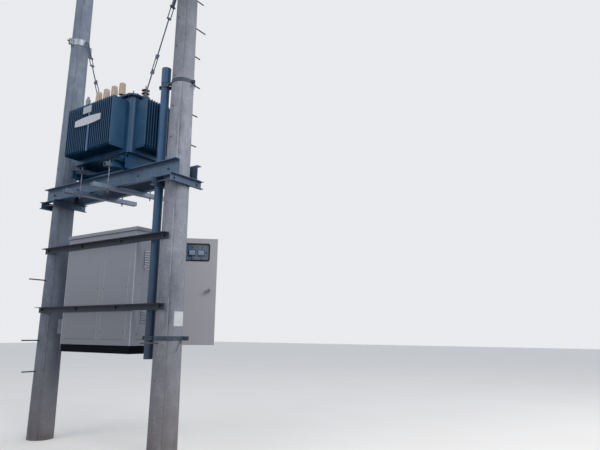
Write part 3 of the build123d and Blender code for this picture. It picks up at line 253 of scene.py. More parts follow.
def makeGalvanised(name, light, dark, rust=0.25, metal=0.35, rough=0.46, blackened=0.0):
    p = Paint(name)
    look = zincLook
    spangle = p.axis("X", p.cells(look["spangleScale"]))
    clouds = p.noise(*look["clouds"])
    runs = p.noise(*look["runs"], p.stretched(look["runStretch"]))
    tone = p.layer(dark, spangle, look["spangleLight"], light)
    tone = p.layer(tone, clouds, look["cloudDark"], dark)
    tone = p.layer(tone, runs, look["runLight"], light)
    tone = p.layer(tone, p.noise(*look["spots"]), (*look["rustFrom"], 0.0, rust), look["rustColour"])
    if blackened:
        tone = p.layer(tone, p.axis("Z"), (*look["boltHeights"], blackened, 0.0), look["boltBlack"])
    normal = p.bump(p.noise(*look["grain"]), *look["grainBump"])
    normal = p.bump(clouds, *look["cloudBump"], normal)
    roughness = p.ramp(spangle, 0.0, 1.0, rough - look["smoother"], rough + look["rougher"])
    return p.finish(tone, roughness, normal, Metallic=metal)


# sprayed paint with orange peel, rain streaks and settled dust, and painted shade that darkens it towards the
# ground

paintLook = {"peel": (420.0, 1.0), "peelDeep": 0.0008, "clouds": (4.0, 4.0, 0.6), "runs": (1.0, 4.0, 0.62),
             "runStretch": (55, 55, 2.2), "specks": (60.0, 5.0, 0.75), "cloudPale": (0.35, 0.68, 0.0, 0.35),
             "runFrom": (0.52, 0.78), "facing": (0.35, 0.95), "speckShare": (0.3, 0.7, 0.4, 1.0),
             "bottomShadeHeights": (1.4, 2.5), "coatRough": 0.22, "roughFrom": (0.3, 0.7), "smoother": 0.05,
             "rougher": 0.1}


def makePaint(name, colour, pale, dusty, rough=0.48, coat=0.0, dust=0.2, peel=0.1, streak=0.1, sheen=0.35,
              soiled=1.0):
    p = Paint(name)
    look = paintLook
    clouds = p.noise(*look["clouds"])
    runs = p.noise(*look["runs"], p.stretched(look["runStretch"]))
    tone = p.layer(colour, clouds, look["cloudPale"], pale)
    tone = p.layer(tone, runs, (*look["runFrom"], 0.0, streak), dusty)
    specks = p.ramp(p.noise(*look["specks"]), *look["speckShare"])
    settled = p.math("MULTIPLY", p.facing(*look["facing"]), specks)
    tone = p.mix(p.math("MULTIPLY", settled, dust), tone, dusty)
    # painted shade: the paint is darkened below 2.5 m, most of all below 1.4 m
    tone = p.mix(1.0, tone, p.ramp(p.axis("Z"), *look["bottomShadeHeights"], soiled, 1.0), "MULTIPLY")
    normal = p.bump(p.noise(*look["peel"]), peel, look["peelDeep"])
    roughness = p.ramp(clouds, *look["roughFrom"], rough - look["smoother"], rough + look["rougher"])
    return p.finish(tone, roughness, normal, **{"Coat Weight": coat, "Coat Roughness": look["coatRough"],
                                                "Specular IOR Level": sheen})


# moulded or machined stuff with a slow change of tone and a grain that is so many times finer

plainLook = {"detail": (4.0, 0.6), "toneFrom": (0.35, 0.68), "grainTimes": 14, "grainDetail": 2.0,
             "grainDeep": 0.0005, "roughFrom": (0.3, 0.7), "smoother": 0.06, "rougher": 0.08}


def makePlain(name, colour, other, scale=20, rough=0.5, grain=0.1, **values):
    p = Paint(name)
    look = plainLook
    clouds = p.noise(scale, *look["detail"])
    tone = p.layer(colour, clouds, look["toneFrom"], other)
    normal = p.bump(p.noise(scale * look["grainTimes"], look["grainDetail"]), grain, look["grainDeep"])
    roughness = p.ramp(clouds, *look["roughFrom"], rough - look["smoother"], rough + look["rougher"])
    return p.finish(tone, roughness, normal, **values)


# extruded conduit: faint lengthwise draw lines, scuffs and dust, and painted shade that makes it darker and
# greyer towards its foot

pipeLook = {"lines": (1.0, 3.0, 0.6), "lineStretch": (180, 180, 0.8), "clouds": (3.0, 4.0, 0.6),
            "scuffs": (1.0, 5.0, 0.75), "scuffStretch": (60, 60, 14), "colour": fromRgb(46, 86, 120),
            "pale": fromRgb(62, 102, 136), "line": fromRgb(84, 112, 142), "scuff": fromRgb(114, 132, 150),
            "foot": fromRgb(56, 67, 82), "cloudPale": (0.35, 0.7), "linePale": (0.45, 0.75, 0.0, 0.25),
            "scuffPale": (0.7, 0.8, 0.0, 0.35), "footShade": (1.4, 3.4, 0.9, 0.0), "lineBump": (0.12, 0.0006),
            "rough": (0.3, 0.7, 0.42, 0.55), "sheen": 0.35}


def makePipe(name):
    p = Paint(name)
    look = pipeLook
    lines = p.noise(*look["lines"], p.stretched(look["lineStretch"]))
    clouds = p.noise(*look["clouds"])
    scuffs = p.noise(*look["scuffs"], p.stretched(look["scuffStretch"]))
    tone = p.layer(look["colour"], clouds, look["cloudPale"], look["pale"])
    tone = p.layer(tone, lines, look["linePale"], look["line"])
    tone = p.layer(tone, scuffs, look["scuffPale"], look["scuff"])
    # painted shade: a darker grey laid over the conduit below 3.4 m
    tone = p.layer(tone, p.axis("Z"), look["footShade"], look["foot"])
    normal = p.bump(lines, *look["lineBump"])
    return p.finish(tone, p.ramp(clouds, *look["rough"]), normal, **{"Specular IOR Level": look["sheen"]})


# smeared window glass

glassLook = {"tint": fromRgb(226, 234, 240), "smears": (14.0, 4.0, 0.6), "rough": (0.4, 0.7, 0.02, 0.09),
             "ior": 1.46}


def makeGlass(name):
    p = Paint(name)
    rough = p.ramp(p.noise(*glassLook["smears"]), *glassLook["rough"])
    return p.finish(glassLook["tint"], rough, **{"Transmission Weight": 1.0, "IOR": glassLook["ior"]})


# rolled thread seen as fine rings along an upright rod

threadLook = {"ringScale": 160.0, "ringBump": (0.7, 0.0012), "clouds": (26.0, 4.0), "toneFrom": (0.4, 0.7),
              "colour": fromRgb(150, 160, 174), "other": fromRgb(96, 108, 124), "rough": 0.42, "metal": 0.5}


def makeThread(name):
    p = Paint(name)
    look = threadLook
    rings = p.add("ShaderNodeTexWave")
    rings.bands_direction = "Z"
    rings.inputs["Scale"].default_value = look["ringScale"]
    p.link(p.place, rings.inputs["Vector"])
    tone = p.layer(look["colour"], p.noise(*look["clouds"]), look["toneFrom"], look["other"])
    normal = p.bump(rings.outputs["Fac"], *look["ringBump"])
    return p.finish(tone, look["rough"], normal, Metallic=look["metal"])


# the station's finishes, with each triple a screen colour

concretes = {
    "concreteLeft": {"centre": poleCentres["left"], "pale": (166, 172, 182), "light": (148, 155, 166),
                     "dark": (118, 127, 140), "stain": (82, 88, 99), "lowShade": 0.77, "topShade": 0.95},
    "concreteRight": {"centre": poleCentres["right"], "pale": (186, 187, 192), "light": (168, 170, 177),
                      "dark": (140, 143, 152), "stain": (96, 98, 104), "lowShade": 0.78, "topShade": 0.5},
}

zincs = {
    "galvanised": {"light": (106, 129, 152), "dark": (58, 81, 104)},
    "saddleSteel": {"light": (91, 111, 134), "dark": (50, 69, 92)},
    "clampSteel": {"light": (138, 152, 172), "dark": (84, 98, 118)},
    "barSteel": {"light": (54, 62, 74), "dark": (28, 34, 46), "rust": 0.35, "metal": 0.25, "rough": 0.55},
    "pinSteel": {"light": (96, 98, 104), "dark": (54, 56, 62), "rust": 0.6, "metal": 0.2, "rough": 0.6},
    "collarSteel": {"light": (186, 192, 198), "dark": (128, 136, 146), "rust": 0.1, "metal": 0.45,
                    "rough": 0.38},
    "strapSteel": {"light": (80, 93, 110), "dark": (32, 42, 54), "rust": 0.35, "rough": 0.5},
    "staySteel": {"light": (120, 130, 144), "dark": (58, 68, 82), "rust": 0.3, "metal": 0.4, "rough": 0.45},
    "boltSteel": {"light": (118, 128, 142), "dark": (66, 76, 90), "rust": 0.35, "metal": 0.45, "rough": 0.42,
                  "blackened": 0.8},
}

paints = {
    "tankBlue": {"colour": (22, 68, 100), "pale": (34, 84, 118), "dusty": (84, 112, 138), "rough": 0.4,
                 "streak": 0.12, "sheen": 0.45},
    "frameBlue": {"colour": (18, 69, 104), "pale": (28, 83, 118), "dusty": (68, 100, 128), "streak": 0.14},
    "stripBlue": {"colour": (47, 94, 131), "pale": (59, 108, 147), "dusty": (102, 130, 156), "rough": 0.4,
                  "streak": 0.16, "sheen": 0.45},
    "plateWhite": {"colour": (196, 198, 204), "pale": (206, 208, 212), "dusty": (150, 152, 158), "rough": 0.4,
                   "coat": 0.2, "peel": 0.04, "streak": 0.2, "sheen": 0.5},
    "cabinetGrey": {"colour": (144, 145, 151), "pale": (154, 155, 160), "dusty": (112, 114, 120), "dust": 0.3,
                    "peel": 0.12, "soiled": 0.78},
    # painted light: a lighter copy of the cabinet grey for the right wall, standing in for more light on that
    # side
    "rightWallLitGrey": {"colour": (163, 166, 174), "pale": (173, 175, 182), "dusty": (128, 131, 138), "dust": 0.3,
                 "peel": 0.12, "soiled": 0.88},
    "doorGrey": {"colour": (173, 171, 173), "pale": (182, 180, 181), "dusty": (138, 137, 139), "dust": 0.3,
                 "peel": 0.12, "streak": 0.06, "soiled": 0.94},
    "plinthBlack": {"colour": (9, 12, 18), "pale": (14, 17, 24), "dusty": (30, 30, 32), "rough": 0.85,
                    "dust": 0.0, "peel": 0.2, "sheen": 0.08},
}

plains = {
    "tieWire": {"colour": (58, 64, 74), "other": (92, 98, 106), "scale": 40, "Metallic": 0.4},
    "plateGrey": {"colour": (160, 166, 176), "other": (176, 182, 190), "scale": 60, "rough": 0.45,
                  "Metallic": 0.3},
    "porcelain": {"colour": (74, 42, 30), "other": (90, 54, 38), "scale": 18, "rough": 0.2, "grain": 0.05,
                  "Coat Weight": 0.6, "Coat Roughness": 0.08},
    "capTan": {"colour": (182, 160, 140), "other": (200, 180, 160), "scale": 24, "rough": 0.6, "grain": 0.25},
    "glandGrey": {"colour": (128, 134, 138), "other": (154, 158, 160), "grain": 0.2},
    "edgeHighlightGrey": {"colour": (192, 194, 200), "other": (178, 180, 186), "grain": 0.05},
    "grooveDark": {"colour": (74, 76, 84), "other": (92, 94, 102), "rough": 0.8, "grain": 0.05},
    "zincSheet": {"colour": (150, 154, 158), "other": (176, 178, 176), "scale": 12, "rough": 0.42,
                  "Metallic": 0.7},
    "caseBlack": {"colour": (34, 34, 38), "other": (48, 48, 52), "scale": 30, "grain": 0.2},
    "copper": {"colour": (158, 98, 72), "other": (128, 78, 60), "scale": 22, "rough": 0.36, "Metallic": 0.8},
    "sealBlack": {"colour": (10, 13, 18), "other": (18, 22, 28), "scale": 40, "rough": 0.65, "grain": 0.2,
                  "Specular IOR Level": 0.25},
    "panelBlue": {"colour": (120, 141, 170), "other": (134, 156, 184), "grain": 0.12},
    "meterFrame": {"colour": (34, 40, 50), "other": (50, 58, 70), "scale": 30, "rough": 0.4, "grain": 0.12},
    "lampLens": {"colour": (70, 76, 90), "other": (104, 84, 84), "scale": 60, "rough": 0.2, "grain": 0.05,
                 "Coat Weight": 0.6},
    "chrome": {"colour": (138, 143, 152), "other": (56, 60, 67), "scale": 70, "rough": 0.14, "grain": 0.02,
               "Metallic": 1.0},
    "dialFace": {"colour": (176, 200, 226), "other": (196, 216, 236), "rough": 0.4, "grain": 0.02},
    "dialInk": {"colour": (18, 20, 24), "other": (28, 30, 36), "rough": 0.6, "grain": 0.02},
    "paper": {"colour": (216, 214, 212), "other": (204, 203, 202), "scale": 9, "rough": 0.85, "grain": 0.05},
    # painted shade: a darker, bluer copy of the paper for the note on the left pole
    "paperShaded": {"colour": (194, 196, 202), "other": (172, 176, 184), "scale": 14, "rough": 0.85},
}

looks = {"rodThread": makeThread("rodThread"), "windowGlass": makeGlass("windowGlass"),
         "conduit": makePipe("conduit")}
makers = ((makeConcrete, concretes), (makeGalvanised, zincs), (makePaint, paints), (makePlain, plains))
for make, table in makers:
    for name, values in table.items():
        ready = {key: fromRgb(*value) if isinstance(value, tuple) else value for key, value in values.items()}
        looks[name] = make(name, **ready)

dressed = {
    "left_pole": "concreteLeft", "right_pole": "concreteRight", "climbing_pins": "pinSteel",
    "beams": "galvanised", "saddles": "saddleSteel", "through_bolts": "boltSteel", "tank": "tankBlue",
    "lid": "tankBlue", "fin_walls": "tankBlue", "plate_strip": "stripBlue", "name_plate": "plateWhite",
    "rating_plate": "plateGrey", "base_frame": "frameBlue", "rollers": "frameBlue",
    "clamp_bars": "clampSteel", "hold_down_rods": "rodThread", "lv_bushings": "porcelain",
    "bushing_caps": "capTan", "hv_bushings": "porcelain", "cable_gland": "glandGrey",
    "lifting_lugs": "tankBlue", "cross_bars": "barSteel", "cabinet_front_wall": "cabinetGrey",
    "cabinet_left_wall": "cabinetGrey", "cabinet_right_wall": "rightWallLitGrey", "cabinet_roof": "cabinetGrey",
    "cabinet_floor": "cabinetGrey", "cabinet_plinth": "plinthBlack", "cabinet_rear_frame": "cabinetGrey",
    "cabinet_left_leaf": "cabinetGrey", "mounting_plate": "zincSheet", "switchgear": "caseBlack",
    "busbars": "copper", "cabinet_door": "doorGrey", "window_gasket": "sealBlack",
    "window_glass": "windowGlass", "instrument_panel": "panelBlue", "meters": "meterFrame",
    "panel_lamps": "lampLens", "door_handle": "chrome", "riser_pipe": "conduit",
    "riser_clamps": "strapSteel", "stay_collars": "collarSteel", "stays": "staySteel",
}
for node, look in dressed.items():
    mesh = nodes[node].data
    mesh.materials.clear()
    mesh.materials.append(looks[look])
print("materials:", len(looks))


# mesh helpers

def addObject(name, bm, look, body="station", smooth=False):
    mesh = bpy.data.meshes.new(name)
    bm.to_mesh(mesh)
    bm.free()
    mesh.materials.append(looks[look])
    for face in mesh.polygons:
        face.use_smooth = smooth
    piece = bpy.data.objects.new(name, mesh)
    bpy.context.scene.collection.objects.link(piece)
    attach(piece, body)
    return piece


def standing(place, normal):
    # a matrix that stands a shape's Z along the normal at a place
    return Matrix.Translation(Vector(place)) @ Vector(normal).to_track_quat("Z", "Y").to_matrix().to_4x4()


def addPlug(bm, turn, start, deep, radius, end=None, sides=16):
    # a round or six-sided plug along a matrix's Z from a start level; end is its radius at the far end
    middle = Matrix.Translation((0, 0, start + deep / 2))
    bmesh.ops.create_cone(bm, cap_ends=True, segments=sides, radius1=radius, radius2=end or radius,
                          depth=deep, matrix=turn @ middle)


def addBlock(bm, low, high, turn=Matrix.Identity(4)):
    size = [high[i] - low[i] for i in range(3)]
    middle = [(high[i] + low[i]) / 2 for i in range(3)]
    grow = Matrix.Diagonal((*size, 1))
    bmesh.ops.create_cube(bm, size=1, matrix=turn @ Matrix.Translation(middle) @ grow)


boltShape = {"washer": 0.0025, "straight": 0.8, "crown": 0.8}    # thickness, and shares of height and radius


def addBolt(bm, place, normal, width, height, washer):
    # hexagon head with a chamfered crown, on a round washer
    turn = standing(place, normal)
    lift = boltShape["washer"]
    radius = width / math.sqrt(3)
    straight = height * boltShape["straight"]
    addPlug(bm, turn, 0.0, lift, washer, sides=18)
    addPlug(bm, turn, lift, straight, radius, sides=6)
    addPlug(bm, turn, lift + straight, height - straight, radius, radius * boltShape["crown"], 6)


# bolts through the lid and the tank's flange

lidBolts = {"pitch": 0.098, "inset": 0.020, "corner": 0.1, "width": 0.019, "head": 0.012, "washer": 0.015,
            "flange": 0.014}


def makeLidBolts():
    low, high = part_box("lid")
    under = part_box("tank")[1].z - lidBolts["flange"]
    shape = [lidBolts[key] for key in ("width", "head", "washer")]
    spots = []
    for along, across in ((0, 1), (1, 0)):
        length = high[along] - low[along] - 2 * lidBolts["corner"]
        count = round(length / lidBolts["pitch"])
        for side in (low[across] + lidBolts["inset"], high[across] - lidBolts["inset"]):
            for i in range(count + 1):
                step = low[along] + lidBolts["corner"] + length * i / count
                spots.append((step, side) if along == 0 else (side, step))
    bm = bmesh.new()
    for x, y in spots:
        addBolt(bm, (x, y, high.z), (0, 0, 1), *shape)
        addBolt(bm, (x, y, under), (0, 0, -1), *shape)
    addObject("lidBolts", bm, "tankBlue")


makeLidBolts()
print("lid bolts")


# screws on the cabinet's panels

panelScrews = {"frontX": (0.586, 1.220, 1.339, 1.793), "frontZ": (1.450, 2.000), "sideY": (-0.062, 0.302),
               "sideZ": (1.420, 2.034, 2.600), "radius": 0.006, "top": 0.0042, "height": 0.003}


def makePanelScrews():
    look = panelScrews
    low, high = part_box("cabinet_front_wall")
    spots = [((x, low.y, z), (0, -1, 0)) for x in look["frontX"] for z in look["frontZ"]]
    for y in look["sideY"]:
        for z in look["sideZ"]:
            spots += [((high.x, y, z), (1, 0, 0)), ((low.x, y, z), (-1, 0, 0))]
    bm = bmesh.new()
    for place, normal in spots:
        addPlug(bm, standing(place, normal), 0.0, look["height"], look["radius"], look["top"])
    addObject("panelScrews", bm, "sealBlack")


makePanelScrews()
print("panel screws")


# painted highlights: pale strips along the sunk panels' edges and the cabinet's corners, and painted shade:
# dark strips in the panels' lower grooves

panelMarks = {"frontEdges": (0.566, 1.251, 1.326, 1.821), "frontSpans": ((0.561, 1.249), (1.321, 1.819)),
              "sideInset": 0.075, "low": 1.355, "high": 2.642, "edge": 0.004, "clear": 0.001, "corner": 0.008,
              "proud": 0.0005, "groove": 0.005, "grooveDeep": 0.0013, "shadeProud": 0.0002,
              "cornerLow": 0.002, "cornerHigh": 0.05}


def makePanelMarks():
    look = panelMarks
    low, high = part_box("cabinet_front_wall")
    front, left, right = low.y, low.x, high.x
    sideStart = front + look["sideInset"]
    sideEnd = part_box("cabinet_right_wall")[1].y - look["sideInset"]
    proud, edge, corner = look["proud"], look["edge"], look["corner"]
    bottom, top = low.z + look["cornerLow"], high.z - look["cornerHigh"]
    bm = bmesh.new()
    # painted highlight: pale strips along the panel edges and the cabinet's corners
    for x in look["frontEdges"]:
        addBlock(bm, (x, front - proud, look["low"]), (x + edge, front, look["high"]))
    for x, side in ((left, -1), (right, 1)):
        nearX, farX = sorted((x, x - side * corner))
        addBlock(bm, (nearX, front - proud, bottom), (farX, front, top))
        nearX, farX = sorted((x, x + side * proud))
        addBlock(bm, (nearX, front, bottom), (farX, front + corner, top))
    along = sideStart + look["groove"] + look["clear"]
    addBlock(bm, (right, along, look["low"]), (right + proud, along + edge, look["high"]))
    addObject("panelEdgeHighlights", bm, "edgeHighlightGrey")
    # painted shade: dark strips in the bottom of the lower grooves
    bm = bmesh.new()
    level = look["low"] + look["groove"]
    deep, shadeLift = look["grooveDeep"], look["shadeProud"]
    for start, end in look["frontSpans"]:
        addBlock(bm, (start, front - shadeLift, look["low"]), (end, front + deep, level))
    addBlock(bm, (right - deep, sideStart, look["low"]), (right + shadeLift, sideEnd, level))
    addObject("grooveShade", bm, "grooveDark")


makePanelMarks()
print("panel marks")


# instruments behind the door's window, in the leaf's own frame

doorPlace = {"hinge": (1.893, 0.4117), "openAngle": 138.0, "half": 0.011}


def doorFrame():
    # X runs from the hinge along the leaf, Y is up and Z stands off its outer face
    angle = math.radians(180 - doorPlace["openAngle"])
    along = Vector((math.cos(angle), math.sin(angle), 0))
    normal = Vector((math.sin(angle), -math.cos(angle), 0))
    place = Vector((*doorPlace["hinge"], 0)) + normal * doorPlace["half"]
    turn = Matrix((along, (0, 0, 1), normal)).transposed().to_4x4()
    return Matrix.Translation(place) @ turn


dials = {"starts": (0.188, 0.310, 0.432), "level": 2.513, "off": -0.0149, "width": 0.076, "height": 0.060,
         "faceDeep": 0.0008, "pivotDrop": 0.36, "pivotOff": 0.0012, "arc": 0.034, "ticks": 21, "tickStep": 5,
         "firstTick": -50, "longEvery": 5, "longTick": 0.0075, "shortTick": 0.004, "tickHalf": 0.0004,
         "tickDeep": 0.0002, "needle": 0.034, "needleTail": 0.004, "needleHalf": 0.0006,
         "needleLevels": (0.0006, 0.0012), "hub": 0.005, "hubStart": -0.0003, "hubDeep": 0.003,
         "angles": (38, -12, 52)}


def makeDials():
    # a pale face with a scale of ticks, a needle and its hub on each meter
    look = dials
    faces, ink = bmesh.new(), bmesh.new()
    turn = doorFrame()
    halfWidth, halfHeight = look["width"] / 2, look["height"] / 2
    tickHalf, tickDeep, needleHalf = look["tickHalf"], look["tickDeep"], look["needleHalf"]
    needleLow, needleHigh = look["needleLevels"]
    for start, swing in zip(look["starts"], look["angles"]):
        addBlock(faces, (start - halfWidth, look["level"] - halfHeight, look["off"]),
                 (start + halfWidth, look["level"] + halfHeight, look["off"] + look["faceDeep"]), turn)
        pivotLevel = look["level"] - look["height"] * look["pivotDrop"]
        pivot = turn @ Matrix.Translation((start, pivotLevel, look["off"] + look["pivotOff"]))
        for i in range(look["ticks"]):
            length = look["shortTick"] if i % look["longEvery"] else look["longTick"]
            lean = Matrix.Rotation(-math.radians(look["firstTick"] + look["tickStep"] * i), 4, "Z")
            addBlock(ink, (-tickHalf, look["arc"], -tickDeep), (tickHalf, look["arc"] + length, tickDeep),
                     pivot @ lean)
        lean = Matrix.Rotation(math.radians(swing), 4, "Z")
        addBlock(ink, (-needleHalf, -look["needleTail"], needleLow), (needleHalf, look["needle"], needleHigh),
                 pivot @ lean)
        addPlug(ink, pivot, look["hubStart"], look["hubDeep"], look["hub"], sides=20)
    addObject("dialFaces", faces, "dialFace", "door")
    addObject("dialInk", ink, "dialInk", "door")


makeDials()
print("dials")


# inside of the open leaf: stiffeners, lock rods with their guides, and the seal, all within its folded edge

leafInside = {"near": 0.015, "far": 0.652, "low": 1.288, "high": 2.705, "edge": 0.0035, "sheet": -0.0031,
              "thin": 0.0015, "ribs": (1.590, 2.210), "ribHeight": 0.036, "ribLip": 0.010, "ribDepth": 0.013,
              "ribEnds": (0.045, 0.578), "rodAt": 0.606, "rodWidth": 0.012, "rodFaces": (-0.0105, -0.0065),
              "rodSpans": ((1.312, 1.978), (2.030, 2.682)), "guides": (1.370, 1.850, 2.150, 2.600),
              "guideReach": 0.012, "guideHalf": 0.010, "cam": (0.556, 2.004), "camRadius": 0.017,
              "camStart": -0.014, "camDeep": 0.003, "linkSpan": (0.004, 0.032),
              "linkFaces": (-0.006, -0.0045), "sealWidth": 0.012, "sealDepth": 0.010}


def makeLeafRibs(turn):
    look = leafInside
    back, half = look["sheet"], look["ribHeight"] / 2
    start, end = look["ribEnds"]
    bm = bmesh.new()
    for level in look["ribs"]:
        addBlock(bm, (start, level - half, back - look["ribDepth"]), (end, level + half, back), turn)
        for side in (-1, 1):
            low, high = sorted((level + side * half, level + side * (half + look["ribLip"])))
            addBlock(bm, (start, low, back - look["thin"]), (end, high, back), turn)
    addObject("leafRibs", bm, "doorGrey", "door")


def makeLockRods(turn):
    look = leafInside
    thin, reach, tall = look["thin"], look["guideReach"], look["guideHalf"]
    left, right = look["rodAt"], look["rodAt"] + look["rodWidth"]
    deep, front = look["rodFaces"]
    camX, camY = look["cam"]
    bm = bmesh.new()
    for low, high in look["rodSpans"]:
        addBlock(bm, (left, low, deep), (right, high, front), turn)
    for side in (-1, 1):
        low, high = sorted(camY + side * step for step in look["linkSpan"])
        addBlock(bm, (camX, low, look["linkFaces"][0]), (right, high, look["linkFaces"][1]), turn)
    addPlug(bm, turn @ Matrix.Translation((camX, camY, 0)), look["camStart"], look["camDeep"],
            look["camRadius"], sides=24)
    for level in look["guides"]:
        low, high = level - tall, level + tall
        addBlock(bm, (left - reach, low, deep - thin), (right + reach, high, deep), turn)
        for x in (left - reach, right + reach - thin):
            addBlock(bm, (x, low, deep), (x + thin, high, look["sheet"]), turn)
    addObject("lockRods", bm, "zincSheet", "door")


def makeLeafSeal(turn):
    look = leafInside
    edge, wide, back = look["edge"], look["sealWidth"], look["sheet"]
    near, far = look["near"] + edge, look["far"] - edge
    low, high = look["low"] + edge, look["high"] - edge
    strips = (((near, low), (near + wide, high)), ((far - wide, low), (far, high)),
              ((near + wide, low), (far - wide, low + wide)),
              ((near + wide, high - wide), (far - wide, high)))
    bm = bmesh.new()
    for start, end in strips:
        addBlock(bm, (*start, back - look["sealDepth"]), (*end, back), turn)
    addObject("leafSeal", bm, "sealBlack", "door")


makeLeafRibs(doorFrame())
makeLockRods(doorFrame())
makeLeafSeal(doorFrame())
print("inside of the leaf")


# copper links from the busbars down to the feeders and up to the breaker, and the cases' terminal screws

links = {"feeders": 4, "feederPitch": 0.215, "feederStep": 0.032, "feederTop": 0.170, "breakerAt": -0.270,
         "breakerStep": 0.065, "breakerDrop": 0.300, "busStep": 0.075, "gap": 0.012, "tail": 0.011,
         "thickness": 0.003, "width": 0.016, "stud": 0.005, "bolt": 0.012, "head": 0.006, "washer": 0.008,
         "caseDepth": 0.090, "screw": 0.005, "screwTop": 0.004, "screwHigh": 0.002, "screwIn": 0.014,
         "screwPitch": 0.030}


def makeLinks():
    look = links
    back = (0, 1, 0)
    phases = (-1, 0, 1)
    busLow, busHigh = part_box("busbars")
    caseLow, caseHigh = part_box("switchgear")
    centre = (busLow.x + busHigh.x) / 2
    middleBus = (busLow.z + busHigh.z) / 2
    start = busHigh.y + look["gap"]
    end = start + look["thickness"]
    half = look["width"] / 2
    feederTop = caseLow.z + look["feederTop"]
    feeders = [centre + (i - (look["feeders"] - 1) / 2) * look["feederPitch"] for i in range(look["feeders"])]
    runs = [(x + k * look["feederStep"], k, feederTop) for x in feeders for k in phases]
    breakerFoot = caseHigh.z - look["breakerDrop"]
    runs += [(centre + look["breakerAt"] + k * look["breakerStep"], k, breakerFoot) for k in phases]
    copper, screws = bmesh.new(), bmesh.new()
    for x, k, foot in runs:
        level = middleBus + k * look["busStep"]
        tail = look["tail"] if foot < level else -look["tail"]
        low, high = sorted((level + tail, foot))
        addBlock(copper, (x - half, start, low), (x + half, end, high))
        addPlug(screws, standing((x, busHigh.y, level), back), 0.0, look["gap"], look["stud"], sides=12)
        addBolt(screws, (x, end, level), back, look["bolt"], look["head"], look["washer"])
    front = caseLow.y + look["caseDepth"]
    for x in feeders:
        for z in (caseLow.z + look["screwIn"], feederTop - look["screwIn"]):
            for k in phases:
                turn = standing((x + k * look["screwPitch"], front, z), back)
                addPlug(screws, turn, 0.0, look["screwHigh"], look["screw"], look["screwTop"], 12)
    addObject("busbarLinks", copper, "copper")
    addObject("linkBolts", screws, "zincSheet")


makeLinks()
print("busbar links")


# blank paper notes pasted on the poles, which lose 1 of radius in a rise of 150

notes = {"left": {"angle": 14, "spread": 32, "low": 1.42, "high": 1.62, "radius": 0.1641,
                  "look": "paperShaded"},
         "right": {"angle": 4, "spread": 56, "low": 1.52, "high": 1.69, "radius": 0.1634, "look": "paper"},
         "taper": 150, "steps": 16, "thickness": 0.0008}


def makeNotes():
    for side in ("left", "right"):
        note = notes[side]
        centre = Vector((poleCentres[side], 0, 0))
        start = math.radians(note["angle"] - note["spread"] / 2)
        outwards = Vector((math.cos(start), math.sin(start), 0))
        foot = centre + outwards * note["radius"]
        head = foot - outwards * ((note["high"] - note["low"]) / notes["taper"])
        bm = bmesh.new()
        low = bm.verts.new((foot.x, foot.y, note["low"]))
        high = bm.verts.new((head.x, head.y, note["high"]))
        edge = bm.edges.new((low, high))
        bmesh.ops.spin(bm, geom=[low, high, edge], cent=centre, axis=(0, 0, 1), dvec=(0, 0, 0),
                       angle=math.radians(note["spread"]), steps=notes["steps"], use_merge=False,
                       use_duplicate=False)
        bmesh.ops.recalc_face_normals(bm, faces=bm.faces)
        piece = addObject(side + "Note", bm, note["look"])
        skin = piece.modifiers.new("thickness", "SOLIDIFY")
        skin.thickness = notes["thickness"]
        skin.offset = 1


makeNotes()
print("notes")


# ends of tie wire that hang at the riser's clamps, as angle about the right pole, reach and height

tieWires = {"radius": 0.0035, "sides": 8, "knot": 0.011, "steps": 5,
            "lower": (((9, 0.178, 1.368), (10, 0.183, 1.345), (3, 0.187, 1.318), (-6, 0.184, 1.275),
                       (-11, 0.181, 1.237)),
                      ((10, 0.184, 1.346), (6, 0.190, 1.330), (1, 0.194, 1.322))),
            "upper": (((12, 0.170, 4.628), (9, 0.172, 4.606), (2, 0.166, 4.578), (-4, 0.158, 4.556)),
                      ((13, 0.172, 4.626), (16, 0.180, 4.596), (15, 0.178, 4.560), (12, 0.170, 4.528)))}


def addTube(bm, points, radius, sides):
    # a closed tube along a path, one ring of vertices at each point
    rings = []
    for i, point in enumerate(points):
        ahead = points[min(i + 1, len(points) - 1)] - points[max(i - 1, 0)]
        turn = ahead.to_track_quat("Z", "Y").to_matrix()
        ring = []
        for k in range(sides):
            angle = 2 * math.pi * k / sides
            spoke = Vector((radius * math.cos(angle), radius * math.sin(angle), 0))
            ring.append(bm.verts.new(point + turn @ spoke))
        rings.append(ring)
    for first, second in zip(rings, rings[1:]):
        for k in range(sides):
            after = (k + 1) % sides
            bm.faces.new((first[k], first[after], second[after], second[k]))
    bm.faces.new(reversed(rings[0]))
    bm.faces.new(rings[-1])


def smoothPath(points, steps):
    # Catmull-Rom through the points
    path = []
    last = len(points) - 1
    for i in range(last):
        before, start, end, after = points[max(i - 1, 0)], points[i], points[i + 1], points[min(i + 2, last)]
        slope = end - before
        bend = 2 * before - 5 * start + 4 * end - after
        twist = 3 * start - before - 3 * end + after
        for step in range(steps):
            t = step / steps
            path.append(0.5 * (2 * start + slope * t + bend * t * t + twist * t ** 3))
    return path + [points[last]]


def makeTieWires():
    for name in ("lower", "upper"):
        bm = bmesh.new()
        for wire in tieWires[name]:
            points = []
            for degrees, reach, height in wire:
                angle = math.radians(degrees)
                points.append(Vector((poleCentres["right"] + reach * math.cos(angle), reach * math.sin(angle),
                                      height)))
            addTube(bm, smoothPath(points, tieWires["steps"]), tieWires["radius"], tieWires["sides"])
            bmesh.ops.create_icosphere(bm, subdivisions=2, radius=tieWires["knot"],
                                       matrix=Matrix.Translation(points[1]))
        bmesh.ops.recalc_face_normals(bm, faces=bm.faces)
        addObject(name + "TieWire", bm, "tieWire", smooth=True)


makeTieWires()
print("tie wires")


# rivets that hold the two bare plates, by their inset from the ends and the levels as shares of the height

rivets = {"name_plate": (0.045, (0.5,)), "rating_plate": (0.012, (0.12, 0.88)), "radius": 0.004, "top": 0.002,
          "rise": 0.0008, "sides": 14}


